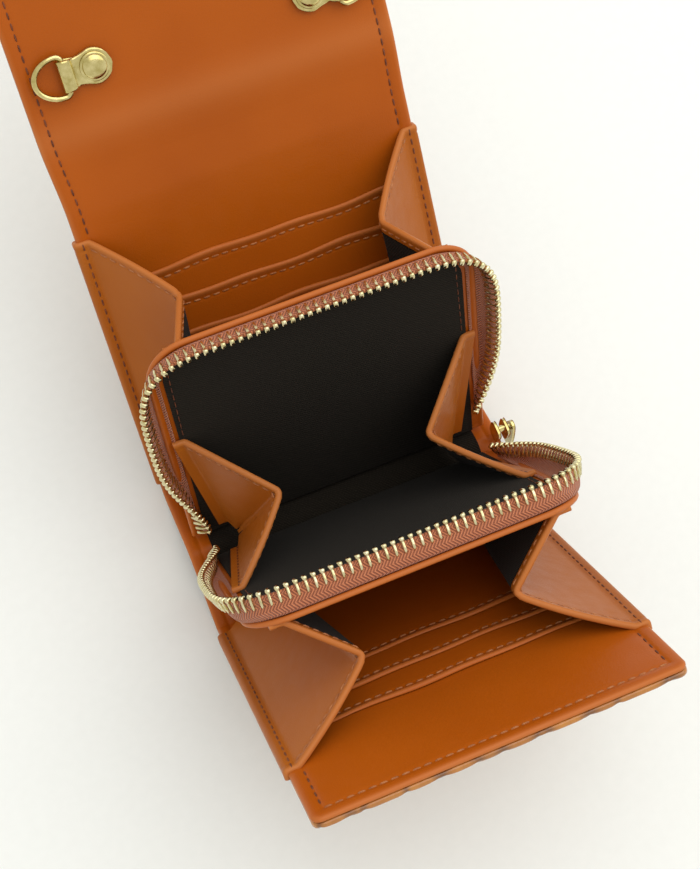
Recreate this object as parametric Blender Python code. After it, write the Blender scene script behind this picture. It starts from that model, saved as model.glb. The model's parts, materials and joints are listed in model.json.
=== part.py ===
"""Compact flap wallet with three compartments, standing open like a fan.

The cover is one strip of leather: front panel, base, back panel and flap. A zip-around coin
compartment stands in the middle of the base, and six V-fold gussets join the panels to its walls.
Millimetres are used throughout and turned into metres once, in add_piece.

Frame: X runs along the width, -Y is the front, +Z is up, and the wallet stands on the two folds of
its cover at Z = 0. The origin is the middle of the back fold's flat underside. The sizes below are
measured from the middle of the base, and the pivots move them to that origin. The joints are the
leather's own folds, all parallel to X:
  root (rear half of the base, back wall of the zip compartment)
    zip_front (front half of the base, front wall)  -> front_panel
    back_panel -> flap_top -> flap_end
"""
import math

import bmesh
import bpy
from mathutils import Vector

METRES_PER_MM = 0.001

# ---------------------------------------------------------------- driving sizes, millimetres
COVER_WIDTH = 105.0        # front panel, base, back panel
FLAP_WIDTH = 107.0         # the flap is a little wider than the panels it covers
ZIP_WIDTH_LESS = 6.2       # the zip compartment is narrower than the cover by this much
FRONT_HEIGHT = 118.8       # front panel, measured up its inner face
BACK_BEND_HEIGHT = 103.0   # where the back panel starts to lean further back
FLAP_FOLD_HEIGHT = 127.0   # first fold line of the flap
FLAP_TOP_LENGTH = 44.0     # part of the flap that covers the closed wallet's top
FLAP_END_LENGTH = 52.0     # part of the flap that hangs down the closed wallet's front
ZIP_HEIGHT = 94.1          # walls of the zip compartment
POCKET_GUSSET_FRONT = 94.4  # top of the outer gussets on the front panel
POCKET_GUSSET_BACK = 96.1   # and on the back panel
POCKET_GUSSET_ZIP = 92.0    # and on the walls of the zip compartment
ZIP_GUSSET_HEIGHT = 55.9    # top of the inner gussets on the zip walls

FRONT_FOLD_DISTANCE = 20.8  # base line of the front panel's inner face, from the middle
BACK_FOLD_DISTANCE = 19.35
BASE_RISE = 9.6             # height of the base's underside at the middle
FRONT_TILT = -37.5          # degrees from upright, minus leans to the front
ZIP_FRONT_TILT = -26.4
ZIP_BACK_TILT = 22.6
BACK_TILT = 42.1
FLAP_TILT = 47.0
FLAP_END_TILT = 24.0

LEATHER = 1.2              # outer leather
LINING = 0.8               # leather lining
BOARD = 0.6                # stiffener board
SLOT_LEATHER = 0.7         # one card slot layer
WALL_LEATHER = 1.4         # wall of the zip compartment
CLOTH = 0.5                # twill lining
GUSSET_LEATHER = 0.8
CLEARANCE = 0.3            # between neighbouring layers
CARD_SLOT_HEIGHTS = (80.4, 69.5, 58.4)
CARD_SLOT_WIDTH = 88.0     # a bank card is 85.6 wide
CARD_SLOT_BOTTOM = 12.0
CORNER_RADIUS = 3.0        # corners of the panels
ZIP_CORNER_RADIUS = 13.0   # upper corners of the zip walls
FLAP_CORNER_RADIUS = 12.0
FOLD_FLAT = 2.4            # flat underside of each fold that the wallet stands on
SEAM = 3.45                # width of the gusset's flange on a panel

TOOTH_PITCH = 2.5
TOOTH_REACH = 1.2          # half the length of a tooth, across the tape
TOOTH_THICKNESS = 0.9      # half the thickness of a tooth
TAPE = 0.6

RING_WIRE = 1.7            # wire of the D-ring
RING_HEIGHT = 13.2         # outside, along its straight bar
RING_DEPTH = 10.6          # outside, from the bar to the crown of the bow
RING_TAB_FROM_FOLD = 16.2  # middle of the ring tab above the flap's first fold line
RING_BAR_INSET = 13.4      # straight bar from the flap's edge
TAB_LENGTH = 13.4
TAB_WIDTH = 8.8
TAB_METAL = 0.7
RIVET_RADIUS = 4.1
RIVET_HEIGHT = 1.5

SNAP_RADIUS = 7.0
SNAP_THICKNESS = 1.8
SNAP_FROM_EDGE = 18.0      # socket from the flap's free edge
SNAP_AT_FRONT = 33.0       # stud from the front panel's free edge

LINING_FROM_PANEL = 9.0    # where a gusset's twill starts, from its fold on the panel
LINING_FROM_WALL = 3.0     # and from its fold on the zip wall
LINING_GAP = 0.75          # between the gusset's leather and its twill

MIDDLE_GAP = 1.1           # half the gap between the halves of the base
FOLD_GAP = 1.3             # from a fold line of the flap to the stiff leather beside it
LINING_STEP = 1.4          # a lining starts this much above its outer leather
BOARD_FROM_FOOT = 4.0      # stiffener from the foot of its panel
HINGE_LIFT = 2.4           # middle hinge above the base's underside
ZIP_FRONT_FOOT = -1.02     # where the middle faces of the zip walls start, along Y
ZIP_BACK_FOOT = 2.21

# zip rows: (share of the closed room, how far the sides flare) and where the rows end
ZIP_FRONT_ROW = (1.18, 4.5)
ZIP_BACK_ROW = (0.82, 4.0)
ROW_END_LEFT = 12.0
ROW_END_RIGHT = 21.0
ROW_TUCK = 4.5             # how far the low ends of the rows tuck in
ROW_TUCK_FROM = 14.0       # heights between which the rows turn out from tucked to flared
ROW_TUCK_RISE = 34.0
TAPE_ROOT_INSET = 3.0      # tape's sewn edge from the edge of the wall
CLOTH_INSET = 4.4          # twill from the edge of the zip wall

# gussets, millimetres in from the cover's edge: the peak of the pleat at the top and low down
FRONT_PEAK = (30.4, 20.5)
BACK_PEAK = (21.5, 17.5)
ZIP_PEAK = (29.4, 17.5)
POCKET_PEAK_HEIGHTS = (90.5, 85.5)   # up the panel and up the zip wall
POCKET_PEAK_LOW = (11.0, 7.0)
ZIP_PEAK_HEIGHT = 51.5
POCKET_GUSSET_LOW = 10.0
ZIP_GUSSET_LOW = 12.0
FRONT_WALL_FOLD = 9.8      # fold on the zip wall from the wall's edge
BACK_WALL_FOLD = 11.1
ZIP_WALL_FOLD = (5.3, 12.0)
WALL_FLANGE = 4.0
ZIP_FLANGE = 2.4
GUSSET_LEVELS = 5

ARC_STEPS = 5
RING_CORNER = 1.6          # rounding at the ends of the D-ring's bar
RING_STEPS = 14
TAB_LOOP_STEPS = 8

# ---------------------------------------------------------------- worked out from them
HALF = COVER_WIDTH / 2
FLAP_HALF = FLAP_WIDTH / 2
ZIP_HALF = (COVER_WIDTH - ZIP_WIDTH_LESS) / 2
PANEL_OUT = LINING + BOARD + LEATHER + 2 * CLEARANCE  # inner face to outer face of a panel
WALL_LOW = 8.0             # foot of the zip walls, up their own slope
CLOTH_START = WALL_LEATHER / 2 + CLEARANCE
CLOTH_END = CLOTH_START + CLOTH
ZIP_BASE_LIFT = 4.1        # height at which the wall slopes are measured from


class Slope:
    """A leaning wall: x along the width, h up the slope, d off its face towards the inside."""

    def __init__(self, y, z, tilt, inside):
        angle = math.radians(tilt)
        self.origin = Vector((0, y, z))
        self.up = Vector((0, math.sin(angle), math.cos(angle)))
        self.inward = inside * Vector((0, math.cos(angle), -math.sin(angle)))

    def at(self, x, h, d=0.0):
        return self.origin + Vector((x, 0, 0)) + self.up * h + self.inward * d


FRONT = Slope(-FRONT_FOLD_DISTANCE, 0, FRONT_TILT, 1)
BACK = Slope(BACK_FOLD_DISTANCE, 0, BACK_TILT, -1)
ZIP_FRONT = Slope(ZIP_FRONT_FOOT, ZIP_BASE_LIFT, ZIP_FRONT_TILT, 1)
ZIP_BACK = Slope(ZIP_BACK_FOOT, ZIP_BASE_LIFT, ZIP_BACK_TILT, -1)
bend = BACK.at(0, BACK_BEND_HEIGHT)
FLAP_ROOT = Slope(bend.y, bend.z, FLAP_TILT, -1)
fold_1 = FLAP_ROOT.at(0, FLAP_FOLD_HEIGHT - BACK_BEND_HEIGHT)
FLAP_TOP = Slope(fold_1.y, fold_1.z, FLAP_TILT, -1)
fold_2 = FLAP_TOP.at(0, FLAP_TOP_LENGTH)
FLAP_END = Slope(fold_2.y, fold_2.z, FLAP_END_TILT, -1)

# the folds of the cover on which the wallet stands: the axis is the middle of the rounded fold
FRONT_AXIS = FRONT.at(0, PANEL_OUT / math.cos(math.radians(FRONT_TILT)))
BACK_AXIS = BACK.at(0, PANEL_OUT / math.cos(math.radians(BACK_TILT)))
BASE_STACK = LEATHER + CLEARANCE + LINING
MIDDLE_AXIS = Vector((0, 0.5, BASE_RISE + HINGE_LIFT))
FLAP_AXIS = FLAP_TOP.at(0, 0, -LINING / 2)
FLAP_END_AXIS = FLAP_END.at(0, 0, -LINING / 2)
FRAME_ORIGIN = Vector((0, BACK_AXIS.y - FOLD_FLAT / 2, 0))  # middle of the back fold's flat underside

RING_SIDE = FLAP_HALF - RING_BAR_INSET
RING_LIFT = RING_WIRE / 2 + TAB_METAL + 2 * CLEARANCE  # bar of the D-ring off the lining
SLIDER_HALF = Vector((2.0, 3.0, 4.0))
SLIDER_AT = Vector((ZIP_HALF + CLEARANCE + SLIDER_HALF.x, -0.4, MIDDLE_AXIS.z + 6.2))
PULLER_AXIS = SLIDER_AT + Vector((SLIDER_HALF.x + 1.9, 0, 1.0))

BODIES = {
    "root": (None, FRAME_ORIGIN),
    "zip_front": ("root", MIDDLE_AXIS),
    "front_panel": ("zip_front", FRONT_AXIS),
    "back_panel": ("root", BACK_AXIS),
    "flap_top": ("back_panel", FLAP_AXIS),
    "flap_end": ("flap_top", FLAP_END_AXIS),
    "slider": ("root", SLIDER_AT),
    "puller": ("slider", PULLER_AXIS),
    "ring_left": ("flap_top", FLAP_TOP.at(-RING_SIDE, RING_TAB_FROM_FOLD, RING_LIFT)),
    "ring_right": ("flap_top", FLAP_TOP.at(RING_SIDE, RING_TAB_FROM_FOLD, RING_LIFT)),
}

# colour, roughness, metallic
FINISHES = {
    "croc_leather": ((0.42, 0.17, 0.03, 1), 0.18, 0.0),
    "tan_leather": ((0.40, 0.12, 0.03, 1), 0.45, 0.0),
    "gusset_leather": ((0.46, 0.19, 0.07, 1), 0.5, 0.0),
    "dark_twill": ((0.035, 0.028, 0.025, 1), 0.9, 0.0),
    "zip_tape": ((0.45, 0.15, 0.07, 1), 0.8, 0.0),
    "pale_gold": ((0.78, 0.62, 0.32, 1), 0.25, 1.0),
    "grey_board": ((0.5, 0.48, 0.45, 1), 0.9, 0.0),
}


# ---------------------------------------------------------------- building blocks
def clear_scene():
    for piece in list(bpy.data.objects):
        bpy.data.objects.remove(piece, do_unlink=True)


def make_materials():
    made = {}
    for name, (colour, roughness, metallic) in FINISHES.items():
        material = bpy.data.materials.new(name)
        material.use_nodes = True
        shader = material.node_tree.nodes["Principled BSDF"]
        shader.inputs["Base Color"].default_value = colour
        shader.inputs["Roughness"].default_value = roughness
        shader.inputs["Metallic"].default_value = metallic
        made[name] = material
    return made


def make_pivots():
    """One empty for each moving body, on its fold or pin, parented as the joints are."""
    pivots = {}
    for body, (parent, place) in BODIES.items():
        pivot = bpy.data.objects.new("pivot_" + body, None)
        bpy.context.collection.objects.link(pivot)
        if parent:
            pivot.parent = pivots[parent]
        held_from = BODIES[parent][1] if parent else FRAME_ORIGIN
        pivot.location = (place - held_from) * METRES_PER_MM
        pivots[body] = pivot
    return pivots


def add_piece(name, body, finish, points, faces, smooth=None):
    """One closed solid from world points in millimetres, held by its body's pivot."""
    origin = BODIES[body][1]
    mesh = bpy.data.meshes.new(name)
    mesh.from_pydata([(p - origin) * METRES_PER_MM for p in points], [], faces)
    work = bmesh.new()
    work.from_mesh(mesh)
    bmesh.ops.recalc_face_normals(work, faces=work.faces)
    work.to_mesh(mesh)
    work.free()
    if smooth:
        mesh.shade_smooth()
        mesh.set_sharp_from_angle(angle=math.radians(smooth))
    mesh.materials.append(MATERIALS[finish])
    piece = bpy.data.objects.new(name, mesh)
    bpy.context.collection.objects.link(piece)
    piece.parent = PIVOTS[body]
    return piece


def rounded_outline(corners):
    """Corners are (x, h, radius); a radius is drawn as an arc."""
    outline = []
    for index, (x, h, radius) in enumerate(corners):
        here = Vector((x, h))
        if radius == 0:
            outline.append((x, h))
            continue
        before = (Vector(corners[index - 1][:2]) - here).normalized()
        after = (Vector(corners[(index + 1) % len(corners)][:2]) - here).normalized()
        centre = here + (before + after) * radius
        for step in range(ARC_STEPS + 1):
            turn = math.pi / 2 * step / ARC_STEPS
            spot = centre - after * radius * math.cos(turn) - before * radius * math.sin(turn)
            outline.append((spot.x, spot.y))
    return outline


def sheet_outline(half, low, high, radius_low, radius_high):
    return rounded_outline([(-half, low, radius_low), (half, low, radius_low),
                            (half, high, radius_high), (-half, high, radius_high)])


def add_plate(name, body, finish, slope, outline, d0, d1):
    """A flat sheet: an outline on a slope, between two distances off its face."""
    count = len(outline)
    points = [slope.at(x, h, d0) for x, h in outline] + [slope.at(x, h, d1) for x, h in outline]
    faces = [tuple(range(count)), tuple(range(2 * count - 1, count - 1, -1))]
    faces += [(i, (i + 1) % count, count + (i + 1) % count, count + i) for i in range(count)]
    return add_piece(name, body, finish, points, faces)


def add_bent_strip(name, body, finish, half, route, inside, d0, d1):
    """A sheet bent along the width: route is (y, z) points, inside is the side that d counts on."""
    points = []
    for index, spot in enumerate(route):
        ways = []
        if index > 0:
            ways.append((spot - route[index - 1]).normalized())
        if index < len(route) - 1:
            ways.append((route[index + 1] - spot).normalized())
        offs = [Vector((way.y, -way.x)) * inside for way in ways]
        off = offs[0] if len(offs) == 1 else (offs[0] + offs[1]) / (1 + offs[0].dot(offs[1]))
        for x, d in ((-half, d0), (half, d0), (half, d1), (-half, d1)):
            points.append(Vector((x, spot.x + off.x * d, spot.y + off.y * d)))
    return add_piece(name, body, finish, points, loft_faces(len(route), 4))


def loft_faces(rings, sides):
    faces = [tuple(range(sides)), tuple(range(rings * sides - 1, (rings - 1) * sides - 1, -1))]
    for ring in range(rings - 1):
        for side in range(sides):
            a = ring * sides + side
            b = ring * sides + (side + 1) % sides
            faces.append((a, b, b + sides, a + sides))
    return faces


def add_tube(name, body, finish, route, radius, sides, closed):
    """A round wire along a list of points, all in one plane for a closed ring."""
    points = []
    count = len(route)
    first = route[1] - route[0]
    plane = first.cross(route[count // 3] - route[0]).normalized()
    for index, spot in enumerate(route):
        way = (route[(index + 1) % count] - route[index - 1]) if closed or 0 < index < count - 1 \
            else (route[min(index + 1, count - 1)] - route[max(index - 1, 0)])
        across = way.normalized().cross(plane).normalized()
        for side in range(sides):
            turn = 2 * math.pi * side / sides
            points.append(spot + (across * math.cos(turn) + plane * math.sin(turn)) * radius)
    faces = loft_faces(count, sides)
    if closed:
        faces = faces[2:]
        last = (count - 1) * sides
        faces += [(last + s, last + (s + 1) % sides, (s + 1) % sides, s) for s in range(sides)]
    return add_piece(name, body, finish, points, faces, smooth=40)


def add_disc(name, body, finish, slope, x, h, profile, sides=24):
    """A turned piece standing off a slope; profile is (radius, d), closed on the axis."""
    points = []
    for radius, d in profile:
        for side in range(sides):
            turn = 2 * math.pi * side / sides
            points.append(slope.at(x + radius * math.cos(turn), h + radius * math.sin(turn), d))
    return add_piece(name, body, finish, points, loft_faces(len(profile), sides), smooth=40)


# ---------------------------------------------------------------- the cover
def fold_arc(axis, start, end):
    """Outer face of a fold round its axis, angles in degrees from +Y, in the (y, z) plane."""
    arc = []
    for step in range(ARC_STEPS + 1):
        turn = math.radians(start + (end - start) * step / ARC_STEPS)
        arc.append(Vector((axis.y + PANEL_OUT * math.cos(turn),
                           axis.z + PANEL_OUT * math.sin(turn))))
    return arc


def add_panel(side, slope, body, outer_top):
    """Lining, board and outer leather of a flat panel that ends in free corners or a fold."""
    foot = PANEL_OUT / slope.up.z
    radius = CORNER_RADIUS
    add_plate(side + "_lining", body, "tan_leather", slope,
              sheet_outline(HALF, foot + LINING_STEP, outer_top, 0, radius), -LINING, 0)
    add_plate(side + "_board", body, "grey_board", slope,
              sheet_outline(HALF - SEAM - 1, foot + BOARD_FROM_FOOT, outer_top - SEAM - 1, 0, 0),
              -LINING - CLEARANCE - BOARD, -LINING - CLEARANCE)
    add_plate(side + "_outer", body, "croc_leather", slope,
              sheet_outline(HALF, foot, outer_top, 0, radius), -PANEL_OUT, LEATHER - PANEL_OUT)


def add_card_slots(side, slope, body):
    """Three stepped layers: the tallest lies on the lining, the lowest is nearest the opening."""
    for number, top in enumerate(CARD_SLOT_HEIGHTS, start=1):
        near = CLEARANCE + (number - 1) * (SLOT_LEATHER + CLEARANCE)
        add_plate("%s_card_slot_%d" % (side, number), body, "tan_leather", slope,
                  sheet_outline(CARD_SLOT_WIDTH / 2, CARD_SLOT_BOTTOM, top, 0, 1.0),
                  near, near + SLOT_LEATHER)


def add_base():
    """Both halves of the base; each carries the rounded fold at its outer end."""
    for side, body, axis, sign, start in (
            ("front", "zip_front", FRONT_AXIS, -1, 180 - FRONT_TILT + 27),
            ("back", "root", BACK_AXIS, 1, 360 - BACK_TILT - 27)):
        foot = Vector((axis.y - sign * FOLD_FLAT, 0))
        middle = Vector((sign * MIDDLE_GAP, BASE_RISE))
        route = [middle, foot] + fold_arc(axis, 270, start)
        add_bent_strip("base_%s_outer" % side, body, "croc_leather", HALF, route,
                       sign, -LEATHER, 0)
        way = (middle - foot).normalized()
        over = [middle - way * 0.6, foot + way * 4.0]
        add_bent_strip("base_%s_lining" % side, body, "tan_leather", HALF, over,
                       sign, -BASE_STACK, -BASE_STACK + LINING)


def add_back_and_flap():
    foot = PANEL_OUT / BACK.up.z
    route = [Vector(BACK.at(0, foot)[1:]), Vector(bend[1:]), Vector(fold_1[1:])]
    gap = FOLD_GAP
    route[2] = route[2] - (route[2] - route[1]).normalized() * gap
    up = (route[1] - route[0]).normalized()
    add_bent_strip("back_outer", "back_panel", "croc_leather", HALF, route,
                   -1, -PANEL_OUT, LEATHER - PANEL_OUT)
    add_bent_strip("back_lining", "back_panel", "tan_leather", HALF,
                   [route[0] + up * LINING_STEP] + route[1:], -1, -LINING, 0)
    add_plate("back_board", "back_panel", "grey_board", BACK,
              sheet_outline(HALF - SEAM - 1, foot + BOARD_FROM_FOOT, BACK_BEND_HEIGHT - 3, 0, 0),
              -LINING - CLEARANCE - BOARD, -LINING - CLEARANCE)
    outer = (-PANEL_OUT, LEATHER - PANEL_OUT)
    for name, finish, (d0, d1) in (("outer", "croc_leather", outer),
                                   ("lining", "tan_leather", (-LINING, 0))):
        add_plate("flap_top_" + name, "flap_top", finish, FLAP_TOP,
                  sheet_outline(FLAP_HALF, gap, FLAP_TOP_LENGTH - gap, 0, 0), d0, d1)
        add_plate("flap_end_" + name, "flap_end", finish, FLAP_END,
                  sheet_outline(FLAP_HALF, gap, FLAP_END_LENGTH, 0, FLAP_CORNER_RADIUS), d0, d1)


# ---------------------------------------------------------------- the zip compartment
CLOSED_ANGLE = 44.5        # how far the front wall turns to close on the back wall


def closed_share(h):
    """How far a row may stand off its cloth at a height: half the room between the closed walls."""
    near = abs((MIDDLE_AXIS - ZIP_FRONT.origin).dot(ZIP_FRONT.inward))
    far = abs((MIDDLE_AXIS - ZIP_BACK.origin).dot(ZIP_BACK.inward))
    left_open = math.radians(ZIP_BACK_TILT - ZIP_FRONT_TILT - CLOSED_ANGLE)
    return (near + far + h * math.sin(left_open)) / 2 - TOOTH_REACH - CLEARANCE - CLOTH_START


def zip_edge(low_left, low_right):
    """Edge of a zip wall from its lower left, over the top, to its lower right, evenly stepped."""
    inner = ZIP_HALF - ZIP_CORNER_RADIUS
    high = ZIP_HEIGHT - ZIP_CORNER_RADIUS
    quarter = math.pi / 2 * ZIP_CORNER_RADIUS
    lengths = (high - low_left, quarter, 2 * inner, quarter, high - low_right)
    count = int(sum(lengths) / TOOTH_PITCH)
    for step in range(count + 1):
        run = sum(lengths) * step / count
        if run <= lengths[0]:
            yield Vector((-ZIP_HALF, low_left + run)), Vector((-1, 0))
            continue
        run -= lengths[0]
        if run <= quarter:
            turn = run / ZIP_CORNER_RADIUS
            out = Vector((-math.cos(turn), math.sin(turn)))
            yield Vector((-inner, high)) + out * ZIP_CORNER_RADIUS, out
            continue
        run -= quarter
        if run <= 2 * inner:
            yield Vector((run - inner, ZIP_HEIGHT)), Vector((0, 1))
            continue
        run -= 2 * inner
        if run <= quarter:
            turn = run / ZIP_CORNER_RADIUS
            out = Vector((math.sin(turn), math.cos(turn)))
            yield Vector((inner, high)) + out * ZIP_CORNER_RADIUS, out
            continue
        run -= quarter
        yield Vector((ZIP_HALF, high - run)), Vector((1, 0))


def zip_row(slope, share, flare):
    """Root of the tape on the wall and middle of the teeth, station by station.

    On the sides the row flares outwards, and near the base it tucks in under the walls.
    """
    for edge, out in zip_edge(ROW_END_LEFT, ROW_END_RIGHT):
        sideways = abs(out.x)
        rise = min(max((edge.y - ROW_TUCK_FROM) / ROW_TUCK_RISE, 0), 1)
        rise = rise * rise * (3 - 2 * rise)
        outward = -0.5 + sideways * (flare * rise - ROW_TUCK * (1 - rise) + 0.5)
        reach = share * closed_share(edge.y)
        root = edge - out * TAPE_ROOT_INSET
        tooth = edge + out * outward
        yield (slope.at(root.x, root.y, CLOTH_START + TAPE / 2),
               slope.at(tooth.x, tooth.y, reach + CLOTH_START))


def add_zip_half(side, slope, body, share, flare):
    stations = list(zip_row(slope, share, flare))
    tape = []
    teeth = []
    for index, (root, tooth) in enumerate(stations):
        after = stations[min(index + 1, len(stations) - 1)][1]
        before = stations[max(index - 1, 0)][1]
        along = (after - before).normalized()
        reach = (tooth - root).normalized()
        face = along.cross(reach).normalized() * TAPE / 2
        shoulder = tooth - reach * (TOOTH_REACH + CLEARANCE)
        tape += [root - face, shoulder - face, shoulder + face, root + face]
        thick = face.normalized() * TOOTH_THICKNESS
        if index % 2:
            thick = thick * 0.6
        tip = reach * TOOTH_REACH * (0.7 if index % 2 else 1.0)
        heel = reach * TOOTH_REACH
        teeth += [tooth - heel - thick, tooth + tip - thick, tooth + tip + thick, tooth - heel + thick]
    add_piece("zip_%s_tape" % side, body, "zip_tape", tape, loft_faces(len(stations), 4))
    add_piece("zip_%s_teeth" % side, body, "pale_gold", teeth, loft_faces(len(stations), 4))
    half_wall = WALL_LEATHER / 2
    add_plate("zip_%s_wall" % side, body, "tan_leather", slope,
              sheet_outline(ZIP_HALF, WALL_LOW, ZIP_HEIGHT, 0, ZIP_CORNER_RADIUS),
              -half_wall, half_wall)
    add_plate("zip_%s_lining" % side, body, "dark_twill", slope,
              sheet_outline(ZIP_HALF - CLOTH_INSET, WALL_LOW + 1, ZIP_HEIGHT - CLOTH_INSET, 0,
                            ZIP_CORNER_RADIUS - CLOTH_INSET),
              CLOTH_START, CLOTH_END)


def add_slider():
    """Body of the slider, narrower at both ends, and the flat pull that hangs from it."""
    half = SLIDER_HALF
    points = []
    for z, wide in ((-1.0, 0.72), (-0.45, 1.0), (0.55, 1.0), (1.0, 0.8)):
        for x, y in ((-1, -1), (1, -1), (1, 1), (-1, 1)):
            points.append(SLIDER_AT + Vector((x * half.x, y * half.y * wide, z * half.z)))
    add_piece("zip_slider", "slider", "pale_gold", points, loft_faces(4, 4))
    top = PULLER_AXIS
    plate = Slope(top.y, top.z, 0, 1)
    thick = 1.2
    outline = rounded_outline([(-1.6, 1.6, 1.0), (-3.2, -14.0, 2.6), (3.2, -14.0, 2.6),
                               (1.6, 1.6, 1.0)])
    count = len(outline)
    points = [Vector((top.x - thick / 2, plate.origin.y + x, top.z + h)) for x, h in outline]
    points += [p + Vector((thick, 0, 0)) for p in points]
    faces = [tuple(range(count)), tuple(range(2 * count - 1, count - 1, -1))]
    faces += [(i, (i + 1) % count, count + (i + 1) % count, count + i) for i in range(count)]
    add_piece("zip_pull", "puller", "pale_gold", points, faces)


# ---------------------------------------------------------------- gussets
def mean_point(first, second, inset, h_first, h_second):
    """Half way between two slopes, at a distance in from the cover's edge."""
    spot = (first.at(0, h_first) + second.at(0, h_second)) / 2
    return Vector((HALF - inset, spot.y, spot.z))


def folded_sheet(name, body, finish, rows, mirror, near, far):
    """A pleated sheet: rows of points across the pleat, thickened on one side of its face."""
    points = []
    width = len(rows[0])
    for level, row in enumerate(rows):
        below = rows[max(level - 1, 0)]
        above = rows[min(level + 1, len(rows) - 1)]
        shell = []
        for index, spot in enumerate(row):
            climb = above[index] - below[index]
            offs = []
            if index > 0:
                offs.append((spot - row[index - 1]).cross(climb).normalized())
            if index < width - 1:
                offs.append((row[index + 1] - spot).cross(climb).normalized())
            off = offs[0] if len(offs) == 1 else (offs[0] + offs[1]) / (1 + offs[0].dot(offs[1]))
            shell.append((spot + off * near, spot + off * far))
        ring = [pair[0] for pair in shell] + [pair[1] for pair in reversed(shell)]
        points += [Vector((p.x * mirror, p.y, p.z)) for p in ring]
    add_piece(name, body, finish, points, loft_faces(len(rows), 2 * width))


def gusset_rows(panel, wall, panel_x, wall_x, peak_top, peak_low, high, low, panel_off, wall_off,
                panel_flange, wall_flange):
    """Rows from the low end to the top: flange, panel fold, pleat, wall fold, flange."""
    rows = []
    for level in range(GUSSET_LEVELS):
        part = level / (GUSSET_LEVELS - 1)
        h_panel = low[0] + (high[0] - low[0]) * part
        h_wall = low[1] + (high[1] - low[1]) * part
        x_panel = panel_x[1] + (panel_x[0] - panel_x[1]) * part
        x_wall = wall_x[1] + (wall_x[0] - wall_x[1]) * part
        peak = peak_low.lerp(peak_top, part)
        rows.append([panel.at(x_panel + panel_flange, h_panel, panel_off),
                     panel.at(x_panel, h_panel, panel_off), peak,
                     wall.at(x_wall, h_wall, wall_off),
                     wall.at(x_wall + wall_flange, h_wall, wall_off)])
    return rows


def add_gusset_pair(side, body, rows, flip):
    """Leather on the outside of the pleat and twill on the inside, left and right."""
    for hand, mirror in (("left", -1), ("right", 1)):
        folded_sheet("%s_gusset_%s" % (side, hand), body, "gusset_leather", rows, mirror,
                     0, flip * GUSSET_LEATHER)
        inner = []
        for row in rows:
            away_panel = (row[2] - row[1]).normalized() * LINING_FROM_PANEL
            away_wall = (row[2] - row[3]).normalized() * LINING_FROM_WALL
            inner.append([row[1] + away_panel, row[2], row[3] + away_wall])
        folded_sheet("%s_gusset_lining_%s" % (side, hand), body, "dark_twill", inner, mirror,
                     -flip * LINING_GAP, -flip * (LINING_GAP + CLOTH))


def peak_line(first, second, insets, heights_top, heights_low):
    return (mean_point(first, second, insets[0], *heights_top),
            mean_point(first, second, insets[1], *heights_low))


def add_gussets():
    pocket_x = (HALF - SEAM, HALF - SEAM)
    outside = -WALL_LEATHER / 2 - CLEARANCE
    low = (POCKET_GUSSET_LOW, POCKET_GUSSET_LOW)
    for side, panel, wall, body, insets, top, wall_fold, flip in (
            ("front", FRONT, ZIP_FRONT, "zip_front", FRONT_PEAK, POCKET_GUSSET_FRONT,
             FRONT_WALL_FOLD, 1),
            ("back", BACK, ZIP_BACK, "back_panel", BACK_PEAK, POCKET_GUSSET_BACK,
             BACK_WALL_FOLD, -1)):
        wall_x = (ZIP_HALF - wall_fold, ZIP_HALF - wall_fold)
        rows = gusset_rows(panel, wall, pocket_x, wall_x,
                           *peak_line(panel, wall, insets, POCKET_PEAK_HEIGHTS, POCKET_PEAK_LOW),
                           (top, POCKET_GUSSET_ZIP), low, CLEARANCE, outside,
                           SEAM - 0.5, WALL_FLANGE)
        add_gusset_pair(side, body, rows, flip)
    inside = CLOTH_END + CLEARANCE
    zip_x = (ZIP_HALF - ZIP_WALL_FOLD[0], ZIP_HALF - ZIP_WALL_FOLD[1])
    rows = gusset_rows(ZIP_FRONT, ZIP_BACK, zip_x, zip_x,
                       *peak_line(ZIP_FRONT, ZIP_BACK, ZIP_PEAK, (ZIP_PEAK_HEIGHT, ZIP_PEAK_HEIGHT),
                                  (ZIP_GUSSET_LOW, ZIP_GUSSET_LOW)),
                       (ZIP_GUSSET_HEIGHT, ZIP_GUSSET_HEIGHT), (ZIP_GUSSET_LOW, ZIP_GUSSET_LOW),
                       inside, inside, ZIP_FLANGE, ZIP_FLANGE)
    add_gusset_pair("zip", "root", rows, 1)


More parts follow.
